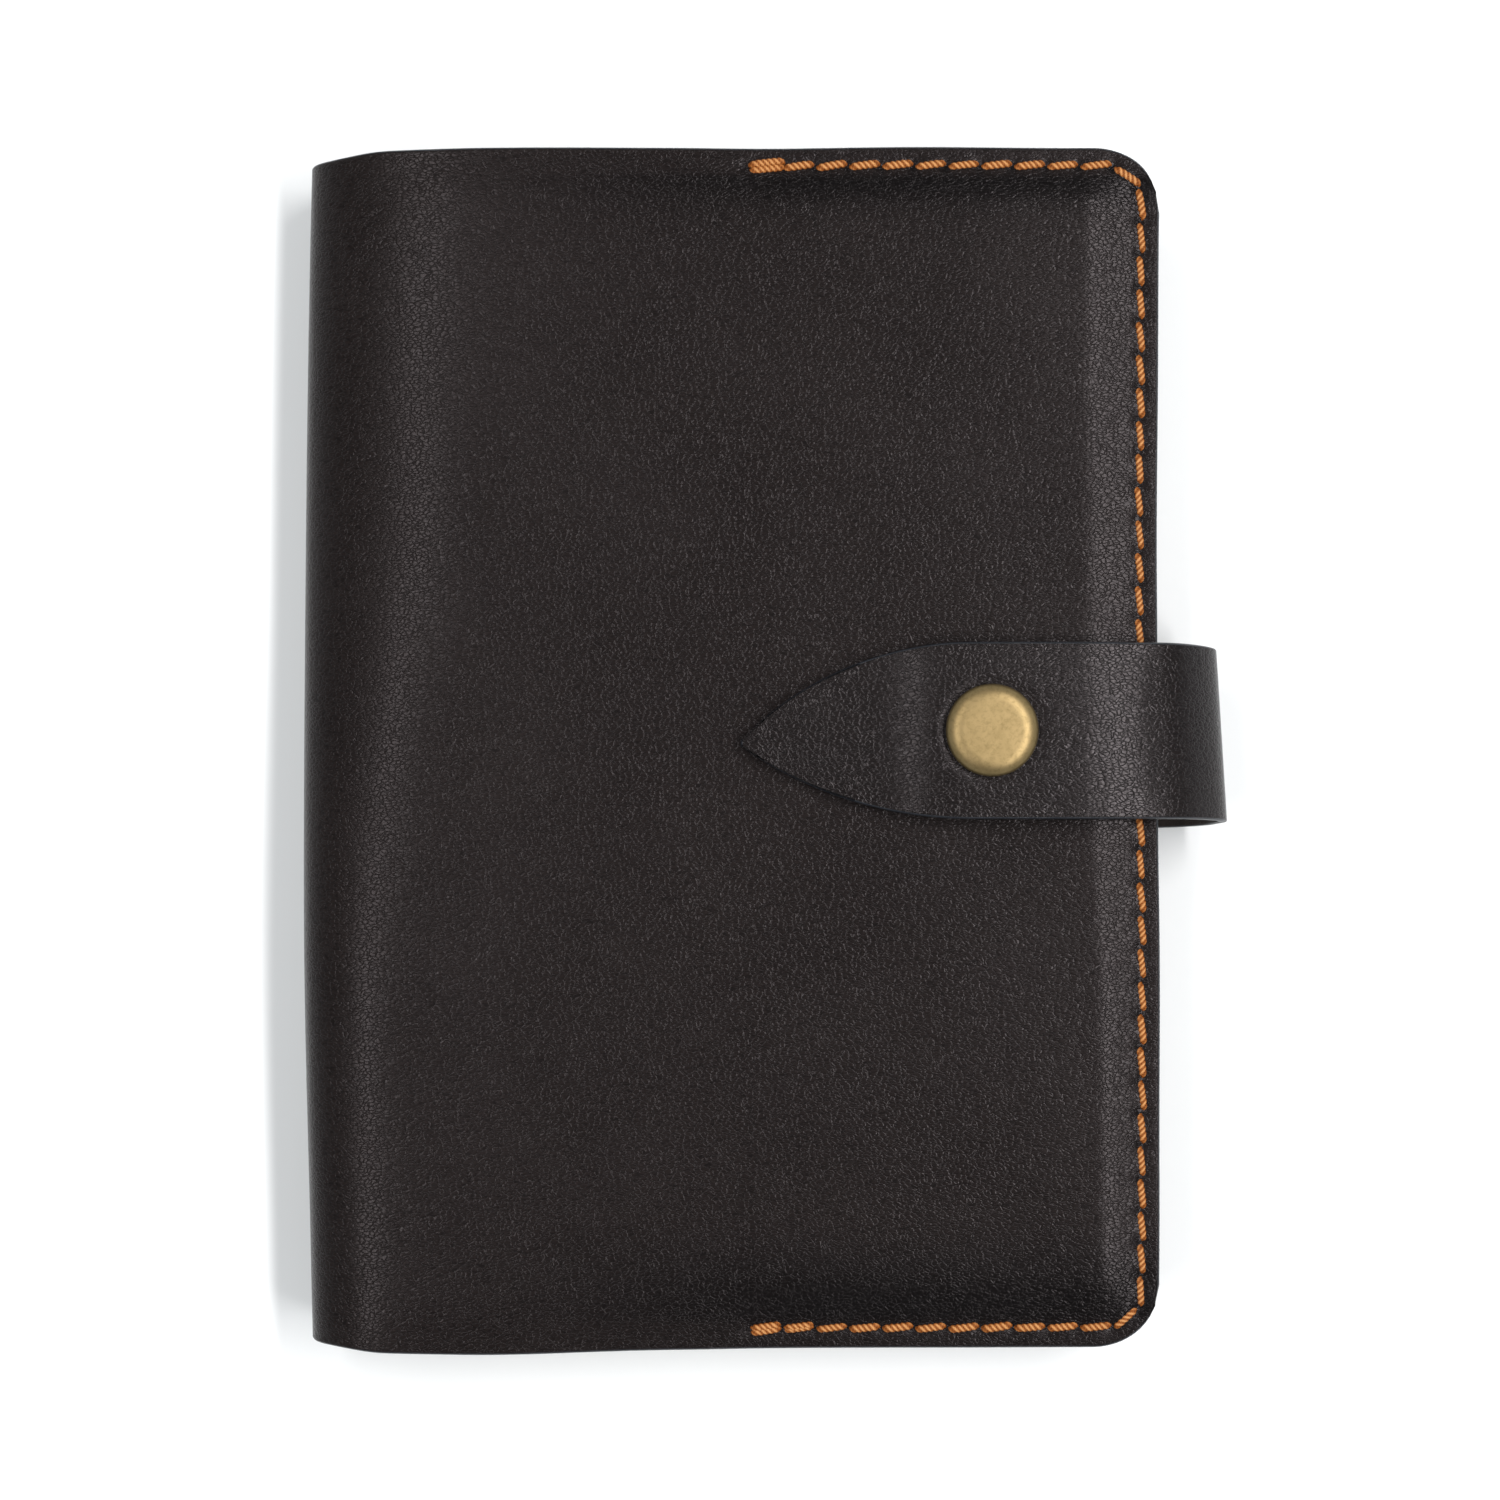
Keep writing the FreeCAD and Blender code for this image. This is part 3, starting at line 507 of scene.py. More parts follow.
def panel_drop(x, y, seam):
    """How far the panel's face lies below its middle, which the board fills; the margins are sewn down."""
    rise = smooth((EDGE_X - x - 2.2) / lerp(6.0, 8.2, smooth((y + 45) / 60)))
    rise = rise * smooth((HALF_Y - y - 2.2) / 5.6) * smooth((HALF_Y + y - 2.2) / 8.6)
    drop = seam * (1 - rise) * sewn(x)
    free = 0.45 * (1 - smooth((HALF_Y - np.abs(y)) / 7.0)) * (1 - sewn(x))
    ripple = 0.05 * np.sin(x / 9.0 + 1.3) * np.sin(y / 13.0 + 0.4) + 0.04 * np.sin(x / 5.1 + y / 8.3)
    line = np.exp(-((edge_distance(x, y, STITCH_IN, ROW_CORNER) / 0.75) ** 2)) * smooth((x - POCKET_X) / 2)
    pulls = near_holes(x, y, 1.3) * 0.1 + near_holes(x, y, 0.6) * 0.3
    margin = 0.08 * np.clip(1 - edge_distance(x, y) / 2.4, 0, 1) * sewn(x)
    return drop + free + margin - ripple + line * 0.08 + pulls


def painted_foot_shade(x, y):
    """1 inside the stitches of head and tail, at the foot of the panel's rise: painted shade, where the slope
    faces head or tail, away from the lamps at the sides.
    """
    head, tail = HALF_Y - y, HALF_Y + y
    at_head = smooth((head - 2.9) / 1.2) * (1 - smooth((head - 4.3) / 6.5))
    at_tail = lerp(0.4, 1, smooth((tail - 3.2) / 1.2)) * (1 - smooth((tail - 5.5) / 13))
    return np.maximum(at_head, at_tail) * smooth((x - POCKET_X + 44) / 56)


def pocket_depth(x, y, seam):
    """Face of the pocket that touches the panel, below the panel's middle face."""
    inside = edge_distance(x, y)
    margin = panel_drop(x, y, seam) * (1 - smooth((inside - 3.2) / 1.5)) + seam * smooth((inside - 3.2) / 1.5)
    return lerp(margin + LEATHER + 0.02, POCKET_DEPTH, smooth((inside - 3.3) / 3.0))


# ---- the leather shell ----

ROW_Y = np.unique(np.round(np.concatenate([
    np.linspace(-HALF_Y, -HALF_Y + 11, 20),
    np.linspace(-HALF_Y + 11, HALF_Y - 11, 190),
    np.linspace(HALF_Y - 11, HALF_Y, 20),
]), 5))


def squeeze_rows(x, y):
    """Rows near head and tail close up towards the fore edge, so that the grid follows the corners."""
    start = HALF_Y - 11
    reach = np.maximum(x - (EDGE_X - CORNER), 0)
    top = HALF_Y - CORNER + np.sqrt(np.maximum(CORNER**2 - reach**2, 0))
    size = np.abs(y)
    closed = start + (size - start) * (top - start) / (HALF_Y - start)
    return np.where(size > start, np.sign(y) * closed, y)


def hand_cut(x, y):
    """The outline is cut by hand: a little full, never quite straight, drawn in at the spine's two ends
    and bulging at the tail beside the spine."""
    d = EDGE_X - x
    head = 0.61 - 0.0035 * d + 0.1 * np.cos((84 - d) / 8)
    tail = 0.7 * np.exp(-(((92 - d) / 18) ** 2)) + 0.003 * d
    drawn = 0.55 * smooth((x - SPINE_X - 12) / -9)
    side = 0.34 - 0.2 * np.sin((y + 10) / 22) + 0.04 * np.sin(y / 6.3)
    up = smooth((np.abs(y) - HALF_Y + 8) / 6)
    over = smooth((x - EDGE_X + 8) / 6)
    return x + side * over, y + np.where(y > 0, head - drawn, drawn - tail) * up


def shell_half(side):
    """One panel with its fold and half of the spine: the front's or the back's."""
    front = side == "front"
    seam = FRONT_SEAM if front else BACK_SEAM
    half = THICK / 2
    turn = np.linspace(0, math.pi / 2, 40)
    flat = np.concatenate([np.linspace(0, 1, 36)[1:-1] * 0.42, np.linspace(0.42, 1, 96)])
    y = ROW_Y[None, :]
    bow = 1.0 * (1 - (y / HALF_Y) ** 2) - 0.35 * smooth((-y - 25) / 45)
    spine_x = SPINE_X + 0.45 - bow
    reach = lerp(16.5, 26.5, smooth((y + 55) / 100)) if front else 11.0 + 0 * y
    power = lerp(3.0, 2.3, smooth((y + 30) / 60)) if front else 2.3 + 0 * y  # 2 is round, more is fuller
    bend_x = spine_x + reach - reach * np.cos(turn[:, None]) ** (2 / power)
    bend_h = half * np.sin(turn[:, None]) ** (2 / power) + 0 * y
    flat_x = (spine_x + reach) + (EDGE_X - spine_x - reach) * flat[:, None]
    x = np.concatenate([bend_x, flat_x])
    height = np.concatenate([bend_h, half + 0 * flat_x])
    y = squeeze_rows(x, y + 0 * x)
    on_panel = smooth((x - spine_x - 8) / 12)
    height = height - panel_drop(x, y, seam) * on_panel
    x, y = hand_cut(x, y)
    z = half + height if front else half - height
    face = np.stack([x, y, z], -1)
    run = np.cumsum(np.linalg.norm(np.diff(face, axis=0, prepend=face[:1]), axis=-1), axis=0)
    uv = np.stack([run if front else -run, y], -1)
    thick = LEATHER - 0.25 * (1 - smooth(edge_distance(x, y) / 3)) * on_panel
    # painted shade round the stitch holes and inside the stitches of head and tail
    press = np.maximum(near_holes(x, y, HOLE_SIZE), FOOT_SHADE * painted_foot_shade(x, y))
    outward = 1 if front else -1
    piece = sheet_mesh(f"cover_{side}", face, uv, thick, [GRAIN, FLESH, EDGE], outward, 0.32, press, 0)
    fold = 7.5  # how far each way from the corner of panel and spine the two ends handed to place lie; place does not bend the piece
    if front:
        ends = ("spine", "front", (SPINE_X, 0, THICK - fold), (SPINE_X + fold, 0, THICK))
        return place(piece, ends, "leather", "front_panel")
    ends = ("back", "spine", (SPINE_X + fold, 0, 0), (SPINE_X, 0, fold))
    return place(piece, ends, "leather", "back_panel", "spine_leather")


def pocket(side):
    """The sleeve inside a panel, sewn down on three sides, with a cut mouth towards the spine."""
    front = side == "front"
    seam = FRONT_SEAM if front else BACK_SEAM
    dense_x = EDGE_X - 12  # the columns are closer together from here to the fore edge
    columns = np.concatenate([np.linspace(POCKET_X, dense_x, 46), np.linspace(dense_x, EDGE_X, 30)[1:]])
    x = columns[:, None] + 0 * ROW_Y[None, ::2]
    y = squeeze_rows(x, ROW_Y[None, ::2] + 0 * x)
    depth = pocket_depth(x, y, seam) + POCKET
    if not front:
        over_root = 1 - smooth((np.abs(y - STRAP_Y + 0.7) - STRAP_HALF) / 2.5)
        depth = depth + 0.85 * over_root * (1 - smooth((edge_distance(x, y) - 4) / 3))
    x, y = hand_cut(x, y)
    face = np.stack([x, y, THICK - depth if front else depth], -1)
    uv = np.stack([x, y + GRAIN_SHIFT[f"pocket_{side}"]], -1)
    # painted shade round the stitch holes
    press = near_holes(x, y, HOLE_SIZE)
    outward = -1 if front else 1
    piece = sheet_mesh(f"pocket_{side}", face, uv, POCKET, [LINING, FLESH, EDGE], outward, 0.25, press)
    return place(piece, side, "pocket_leather", f"{side}_pocket")


# ---- thread ----


class Thread:
    """Stitches of three-ply thread gathered into one mesh."""

    AROUND, ALONG = 18, 26
    TWIST = -2 * math.pi / 2.15  # one turn of a ply for each 2.15 mm

    def __init__(self):
        self.verts, self.faces, self.uvs, self.plies, self.painted_thread_lights = [], [], [], [], []
        self.count = 0

    def run(self, path, up, radius, painted_light=1.0):
        """A length of thread along path. radius, and the share of light, which is below 1 where shade is
        painted on the thread, are one number or one for each point."""
        path = np.array(path, dtype=float)
        count = len(path)
        along = unit(np.gradient(path, axis=0))
        side = unit(np.cross(along, np.broadcast_to(np.array(up, dtype=float), path.shape)))
        over = np.cross(side, along)
        steps = np.linalg.norm(np.diff(path, axis=0, prepend=path[:1]), axis=1)
        run = np.cumsum(steps)[:, None]
        angle = np.linspace(0, 2 * math.pi, self.AROUND, endpoint=False)[None, :]
        ply = np.abs(np.cos(1.5 * (angle - self.TWIST * run)))
        size = np.broadcast_to(np.asarray(radius, dtype=float), (count,))[:, None] * (0.76 + 0.28 * ply**0.6)
        ring = side[:, None] * (np.cos(angle) * size * 1.08)[..., None]
        ring = ring + over[:, None] * (np.sin(angle) * size * 0.92)[..., None]
        verts = (path[:, None] + ring).reshape(-1, 3)
        faces = strip_faces(count, self.AROUND, closed=True)
        uv = np.stack([run + 0 * angle, size * (angle - self.TWIST * run)], -1).reshape(-1, 2)
        self.faces.append(faces + self.count)
        self.uvs.append(uv[faces] + self.count * 0.37)
        self.verts.append(verts)
        self.plies.append(ply.ravel())
        # painted shade: the thread's sides, towards the leather, darker than its top
        clean = 0.3 + 0.7 * smooth(1.15 * np.sin(angle))
        self.painted_thread_lights.append((np.broadcast_to(painted_light, (count,))[:, None] * (clean + 0 * ply)).ravel())
        self.count += len(verts)

    def stitch(self, start, end, up, radius, lift=0.12, sink=0.9):
        """One stitch: out of a hole, across the leather and into the next hole."""
        t = np.linspace(0, 1, self.ALONG)
        arch = 1 - np.abs(2 * t - 1) ** 6
        up = np.array(up, dtype=float)
        base = np.array(start)[None] + (np.array(end) - np.array(start))[None] * t[:, None]
        path = base + up * (arch * (sink + lift) - sink)[:, None]
        # painted shade at both ends of a stitch, where the thread sinks into its hole
        self.run(path, up, radius * (0.66 + 0.34 * arch), 0.3 + 0.7 * arch**1.5)

    def make(self, name, material):
        faces = np.concatenate(self.faces)
        kinds = np.zeros(len(faces))
        verts, uvs = np.concatenate(self.verts), np.concatenate(self.uvs)
        fields = {"ply": np.concatenate(self.plies), "open": np.concatenate(self.painted_thread_lights)}
        return make_mesh(name, verts, faces, uvs, kinds, [material], **fields)


def seam_stitches(side, seed):
    """Saddle stitches on both faces of a seam; each leans outwards, and the two ends are sewn twice."""
    front = side == "front"
    seam = FRONT_SEAM if front else BACK_SEAM
    rng = np.random.default_rng(seed)
    thread = Thread()
    gap = 0.16  # from a hole's middle to where the stitch comes out

    def height(x, y, outer):
        """Height of the leather's face on the outer or inner side of the seam."""
        drop = float(panel_drop(np.array([x]), np.array([y]), seam)[0])
        depth = drop if outer else float(pocket_depth(np.array([x]), np.array([y]), seam)[0]) + POCKET
        return THICK - depth if front else depth

    for outer in (True, False):
        up = (0, 0, 1.0 if front == outer else -1.0)
        for k in range(STITCHES):
            ends = []
            for hole, sign in ((k, 1), (k + 1, -1)):
                x, y, dx, dy = HOLES[hole]
                lean = (-0.3 if sign > 0 else 0.24) * (1 if outer else -1) + rng.normal(0, 0.05)
                out_x, out_y = -dy, dx
                x = x + dx * gap * sign + out_x * lean
                y = y + dy * gap * sign + out_y * lean
                level = height(x, y, outer)
                x, y = hand_cut(x, y)
                ends.append(np.array([float(x), float(y), level]))
            start, end = ends
            offsets = [0.0]
            if k == 0:
                start = start + np.array([-0.35, 0, 0])
                end = end + np.array([0.7, 0, 0])
                offsets = [-0.4, 0.4]
            elif k >= STITCHES - 2:
                offsets = [-0.28, 0.3] if k == STITCHES - 1 else [-0.12, 0.18]
            radius = lerp(0.55, 0.48, abs(HOLES[k, 3])) + rng.normal(0, 0.02)
            for offset in offsets:
                aside = np.array([0, offset, 0])
                lift = 0.16 + rng.normal(0, 0.02) + (0.1 if offset > 0 else 0)
                thread.stitch(start + aside, end + aside, up, radius * (0.92 if offset else 1), lift)
    piece = thread.make(f"stitches_{side}", THREAD)
    return place(piece, side, "stitching", f"{side}_seam_thread")


# ---- strap ----


def curve_through(points, count):
    """Evenly spaced points on a smooth curve through the given ones."""
    points = np.array(points, dtype=float)
    points = np.vstack([2 * points[0] - points[1], points, 2 * points[-1] - points[-2]])
    t = np.linspace(0, 1, 40, endpoint=False)[:, None]
    dense = [
        b + 0.5 * ((c - a) * t + (2 * a - 5 * b + 4 * c - d) * t**2 + (3 * (b - c) + d - a) * t**3)
        for a, b, c, d in zip(points, points[1:], points[2:], points[3:])
    ]
    dense = np.vstack([*dense, points[-2]])
    run = np.concatenate([[0], np.cumsum(np.linalg.norm(np.diff(dense, axis=0), axis=1))])
    even = np.linspace(0, run[-1], count)
    return np.stack([np.interp(even, run, column) for column in dense.T], -1)


def strap_grid(line, columns):
    """Grid of the strap's good side. line has x, z, the middle's y, the two half widths and the slant."""
    across = np.linspace(-1, 1, columns)[None, :]
    x, z, middle, lower, upper, slant = (line[:, k, None] for k in range(6))
    aside = np.where(across < 0, across * lower, across * upper)
    return np.stack([x - slant * aside / STRAP_HALF, middle + aside, z + 0 * aside], -1)


def strap_uv(face, start=0.0):
    """The leather's own flat measure: length from the sewn end, and width."""
    run = start + np.cumsum(np.linalg.norm(np.diff(face, axis=0, prepend=face[:1]), axis=-1), axis=0)
    return np.stack([run, face[..., 1] + GRAIN_SHIFT["strap"]], -1)


TURN_X = LOOP_X - 0.1  # outermost line of the loop
MID_Z = 10.4  # where the two halves of the strap meet
STRAP_DROP = 1.35  # the sewn end lies this much nearer the tail than the tab
TAB_FACE = THICK + 3.3  # good side of the tab where it lies flat


def strap_lower():
    """The pared end inside the back, and the lower half of the loop."""
    margin = BACK_SEAM + LEATHER + 0.03
    # x, z, share of the drop still to come, slant
    points = [
        (EDGE_X - 27.0, 1.47, 1.0, 0.0),
        (EDGE_X - 20.0, 1.47, 1.0, 0.0),
        (EDGE_X - 12.0, 1.5, 1.0, 0.0),
        (EDGE_X - 6.5, 1.6, 1.0, 0.0),
        (EDGE_X - 3.2, margin, 1.0, 0.0),
        (EDGE_X, margin + 0.02, 1.0, 0.0),
        (EDGE_X + 3.6, margin + 0.3, 0.95, 0.15),
        (TURN_X - 3.1, margin + 1.9, 0.8, 0.35),
        (TURN_X - 0.8, margin + 4.6, 0.6, 0.6),
        (TURN_X, MID_Z, 0.35, 0.8),
    ]
    line = curve_through(points, 120)
    middle = STRAP_Y - STRAP_DROP * line[:, 2]
    half = np.full(len(line), STRAP_HALF)
    line = np.stack([line[:, 0], line[:, 1], middle, half, half, line[:, 3]], -1)
    face = strap_grid(line, 61)
    pared = smooth((face[..., 0] - EDGE_X + 0.5) / 4.5)
    pared = np.maximum(pared, smooth((face[..., 2] - 3.4) / 2))
    uv, thick = strap_uv(face), lerp(0.75, LEATHER, pared)
    piece = sheet_mesh("strap_lower", face, uv, thick, [STRAP, FLESH, EDGE], -1, 0.25, None, -1)
    ends = ("back", "loop", (LOOP_X - 9, 0, 2), (LOOP_X, 0, 8.5))
    place(piece, ends, "leather", "strap_root", "strap_loop")
    return uv[-1, :, 0]


def strap_upper(start):
    """The upper half of the loop and the pointed tab, lifted where the snap lies under it."""
    straight_x, point_x = EDGE_X - 26.0, TAB[0][0]
    lift = CAP[1][2] - SNAP_SINK - TAB_FACE  # the snap holds the strap up, from the bend to the cap
    # x, z, share of the drop still to come, slant
    points = [
        (TURN_X, MID_Z, 0.35, 0.8),
        (TURN_X - 0.9, MID_Z + 3.5, 0.2, 0.7),
        (TURN_X - 3.4, MID_Z + 6.3, 0.08, 0.5),
        (TURN_X - 7.4, TAB_FACE - 1.9, 0.0, 0.3),
        (TURN_X - 12.0, TAB_FACE - 0.4, 0.0, 0.12),
        (TURN_X - 15.5, TAB_FACE + 0.25, 0.0, 0.0),
        (TURN_X - 18.5, TAB_FACE + 0.6, 0.0, 0.0),
        (TURN_X - 22.5, TAB_FACE + lift - 0.07, 0.0, 0.0),
        (SNAP_X, TAB_FACE + lift, 0.0, 0.0),
        (SNAP_X - 8.0, TAB_FACE + lift - 0.15, 0.0, 0.0),
        (lerp(straight_x, point_x, 0.35), TAB_FACE + lift - 0.75, 0.0, 0.0),
        (lerp(straight_x, point_x, 0.7), TAB_FACE + lift - 1.2, 0.0, 0.0),
        (point_x, TAB_FACE + lift - 1.25, 0.0, 0.0),
    ]
    line = curve_through(points, 230)
    x = line[:, 0]
    run = straight_x - point_x
    taper = np.clip((straight_x - x) / run, 0, 1) * run
    drop = 1.7  # the point lies this much nearer the tail than the strap's middle

    def side_width(rise):
        """An arc that leaves the strap's side along it and reaches the point."""
        radius = (run**2 + rise**2) / (2 * rise)
        return radius - np.sqrt(radius**2 - taper**2)

    upper = STRAP_HALF - side_width(STRAP_HALF + drop - 0.35)
    lower = STRAP_HALF - side_width(STRAP_HALF - drop - 0.35)
    shift = (upper - lower) / 2
    half = (upper + lower) / 2
    middle = STRAP_Y - STRAP_DROP * line[:, 2] + shift
    line = np.stack([x, line[:, 1], middle, half, half, line[:, 3]], -1)
    face = strap_grid(line, 61)
    away = np.hypot(face[..., 0] - SNAP_X, face[..., 1] - SNAP_Y)
    near = np.hypot(np.minimum(face[..., 0] - SNAP_X, 0), 0.4 * (face[..., 1] - SNAP_Y))
    slope = lift * smooth((near - 4.0) / 13)
    dent = 0.16 * np.exp(-(((away - 6.5) / 0.8) ** 2)) + 0.1 * (1 - smooth((away - 6) / 1.5))
    on_tab = smooth((TURN_X - 9 - face[..., 0]) / 6)
    sag = 0.3 * smooth((np.abs(face[..., 1] - STRAP_Y) / STRAP_HALF - 0.45) / 0.55) * on_tab
    face[..., 2] -= slope + dent * on_tab + sag
    uv = strap_uv(face, start)
    piece = sheet_mesh("strap_upper", face, uv, LEATHER, [STRAP, FLESH, EDGE], -1, 0.3, None, 0)
    ends = ("loop", "tab", (LOOP_X, 0, THICK - 6.5), (LOOP_X - 9, 0, THICK + 2.5))
    return place(piece, ends, "leather", "strap_tab")


for side in ("back", "front"):
    shell_half(side)
    pocket(side)
seam_stitches("front", 11)
seam_stitches("back", 12)
strap_upper(strap_lower())


# ---- snap ----


def round_profile(points, count=6, share=0.35):
    """Rounds the corners of an open profile by a small curve at each inner point."""
    points = [np.array(p, dtype=float) for p in points]
    out = [points[0]]
    for a, b, c in zip(points, points[1:], points[2:]):
        first, last = lerp(b, a, share), lerp(b, c, share)
        for t in np.linspace(0, 1, count):
            out.append(lerp(lerp(first, b, t), lerp(b, last, t), t))
    out.append(points[-1])
    return out


CENTRE = (SNAP_X, SNAP_Y)


def snap_cap():
    """Domed cap with a flat crown, a rolled rim and its post."""
    top, radius = CAP[1][2] - 0.1, (CAP[1] - CAP[0])[0] / 2
    base = top - SNAP_SINK
    flat, depth = 0.61 * radius, 1.45
    dome = [(0.02 + flat * u, top - 0.03 * u**2) for u in np.linspace(0, 1, 16)]
    for a in np.linspace(0.03, math.pi / 2, 40):
        out, down = math.sin(a) ** 0.9, 1 - math.cos(a) ** 0.9
        dome.append((lerp(flat, radius, out), top - 0.03 - depth * down - 0.12 * out**2))
    rim = [
        (radius - 0.3 + 0.3 * math.cos(a), top - 1.6 - 0.2 * math.sin(a))
        for a in np.linspace(0.15, math.pi / 2, 8)
    ]
    under = [(radius - 0.75, base + 0.05), (radius - 1.2, base + 0.3), (1.65, base + 0.32), (1.6, base - 2.1)]
    tail = [(2.3, base - 2.15), (2.35, base - 2.35), (1.2, base - 2.45), (0.02, base - 2.45)]
    profile = dome + rim + under + tail
    # painted shade, with tarnish, growing round the rolled rim and under the cap
    shade = [0.0] * len(dome) + list(np.linspace(0.15, 0.8, len(rim))) + [0.7] * (len(under) + len(tail))
    piece = lathe("snap_cap_brass", profile, CENTRE, BRASS, 128, np.array(shade))
    return place(piece, "tab", "antique_brass", "snap_cap")


def snap_socket():
    """The spring socket under the tab."""
    low, high = corners("snap_socket")
    radius, base, top = (high - low)[0] / 2, low[2], high[2]
    wall = 2.8
    points = [
        (1.66, top - 0.5), (wall, top - 0.5), (wall, base + 0.66), (wall + 0.55, base + 0.64),
        (wall + 0.55, base + 0.2), (wall + 0.06, base + 0.12), (wall + 0.1, base), (radius - 1.3, base),
        (radius - 0.55, base + 0.35), (radius - 0.1, base + 0.5), (radius, base + 0.9), (radius, top - 0.35),
        (radius - 0.2, top - 0.15), (1.66, top - 0.15), (1.66, top - 0.5),
    ]
    piece = lathe("snap_socket_brass", round_profile(points), CENTRE, BRASS, 96)
    return place(piece, "tab", "antique_brass", "snap_socket")


def snap_stud():
    """The ball stud on the front, and the eyelet that rivets it through the leather."""
    low, high = corners("snap_stud")
    radius, base, top, ball = (high - low)[0] / 2, low[2], high[2], 2.6
    points = [
        (1.27, base + 0.02), (radius - 0.2, base + 0.02), (radius, base + 0.15), (radius - 0.25, base + 0.38),
        (ball + 0.7, base + 0.42), (ball - 0.35, base + 0.6), (ball - 0.4, base + 0.95),
        (ball - 0.05, base + 1.2), (ball, base + 1.4), (ball - 0.35, top - 0.1), (ball - 0.8, top),
        (1.5, top - 0.05), (1.27, top - 0.3), (1.27, base + 0.02),
    ]
    piece = lathe("snap_stud_brass", round_profile(points), CENTRE, BRASS, 96)
    place(piece, "front", "antique_brass", "snap_stud")
    low, high = corners("snap_eyelet")
    radius, base, top = (high - low)[0] / 2, low[2], high[2]
    points = [
        (0.8, base + 0.1), (1.2, base), (radius - 0.3, base + 0.02), (radius, base + 0.16),
        (radius - 0.2, base + 0.33), (1.5, base + 0.35), (1.2, base + 0.6), (1.2, top - 0.3),
        (1.62, top - 0.16), (1.6, top - 0.02), (1.2, top), (0.85, top - 0.1), (0.8, top - 0.4),
        (0.8, base + 0.1),
    ]
    piece = lathe("snap_eyelet_brass", round_profile(points), CENTRE, BRASS, 96)
    return place(piece, "front", "antique_brass", "snap_eyelet")


snap_cap()
snap_socket()
snap_stud()
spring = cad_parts["snap_spring"]
spring.data.materials.clear()
spring.data.materials.append(STEEL)


# ---- notebook ----


def card_half(side):
    """Half of the folded card cover: a board with its half of the spine."""
    front = side == "front"
    card = 0.75  # thickness
    height = (BOARD[1] - BOARD[0])[1] / 2
    edge_x = BOARD[1][0]
    strip = corners("notebook_spine_cover")
    fold_x, level = strip[0][0], BOARD_DEPTH + 0.1
    mid = THICK / 2
    reach = 18.0 if front else 7.0  # how far the bend runs into the board
    turn = np.linspace(0, math.pi / 2, 40)
    x = fold_x + reach - reach * np.cos(turn) ** 0.85
    h = (mid - level) * np.sin(turn) ** 0.8
    x = np.concatenate([x, np.linspace(fold_x + reach, edge_x, 60)[1:]])
    h = np.concatenate([h, np.full(59, mid - level)])
    rows = np.linspace(-height, height, 90)
    x, y = x[:, None] + 0 * rows, rows[None, :] + 0 * x[:, None]
    z = mid + h[:, None] + 0 * rows if front else mid - h[:, None] + 0 * rows
    face = np.stack([x, y, z], -1)
    run = np.cumsum(np.linalg.norm(np.diff(face, axis=0, prepend=face[:1]), axis=-1), axis=0)
    uv = np.stack([run if front else -run, y], -1)
    piece = sheet_mesh(f"card_{side}", face, uv, card, [CARD] * 3, 1 if front else -1, 0.1, None, 0)
    bend = 6.0
    if front:
        ends = ("spine", "front", (fold_x, 0, THICK - level - bend), (fold_x + bend, 0, THICK - level))
        return place(piece, ends, "cover_card", "notebook_front_cover")
    ends = ("back", "spine", (fold_x + bend, 0, level), (fold_x, 0, level + bend))
    return place(piece, ends, "cover_card", "notebook_back_cover", "notebook_spine_cover")


def signature(number, rng):
    """Eight sheets folded one inside the other, each a little out of line with the next."""
    low, high = corners(f"signature_{number}")
    sheets = 8
    thick = (high[2] - low[2]) / (2 * sheets)
    middle = (low[2] + high[2]) / 2
    verts, faces = [], []
    for k in range(sheets):
        outer = (high[2] - low[2]) / 2 - k * thick
        inner = outer - thick * 0.86
        fold_x = low[0] + (high[2] - low[2]) / 2
        right = high[0] - 0.02 + k * 0.012 - rng.uniform(0, 0.1) - 0.1
        half = high[1] - 0.03 - rng.uniform(0, 0.12)
        slide = rng.uniform(-0.05, 0.05)
        turn = np.linspace(math.pi / 2, 3 * math.pi / 2, 11)
        outline = [(right, middle + outer)]
        outline += [(fold_x + outer * math.cos(a), middle + outer * math.sin(a)) for a in turn]
        outline += [(right, middle - outer), (right, middle - inner)]
        outline += [(fold_x + inner * math.cos(a), middle + inner * math.sin(a)) for a in turn[::-1]]
        outline += [(right, middle + inner)]
        count = len(outline)
        base = len(verts)
        for y in (-half + slide, half + slide):
            verts += [(x, y, z) for x, z in outline]
        for i in range(count):
            j = (i + 1) % count
            faces.append((base + i, base + j, base + count + j, base + count + i))
        for i in range(count // 2 - 1):
            j = count - 1 - i
            faces.append((base + i, base + j, base + j - 1, base + i + 1))
            faces.append((base + count + i, base + count + i + 1, base + count + j - 1, base + count + j))
    verts = np.array(verts)
    faces = np.array(faces)
    uv = verts[faces][..., :2]
    piece = make_mesh(f"pages_{number}", verts, faces, uv, np.zeros(len(faces)), [PAPER])
    piece.data.polygons.foreach_set("use_smooth", np.zeros(len(faces), dtype=bool))
    return place(piece, "back", "page_paper", f"signature_{number}")


def flat_leaf(node, name):
    """A single leaf with a faint cockle."""
    low, high = corners(node)
    x, y = np.meshgrid(np.linspace(low[0], high[0], 40), np.linspace(low[1], high[1], 50), indexing="ij")
    z = high[2] - 0.02 - 0.02 * (1 + np.sin(x / 11.0) * np.cos(y / 17.0))
    face = np.stack([x, y, z], -1)
    piece = sheet_mesh(name, face, np.stack([x, y], -1), 0.09, [FLYLEAF] * 3, 1, 0.02)
    return place(piece, "back", "page_paper", node)


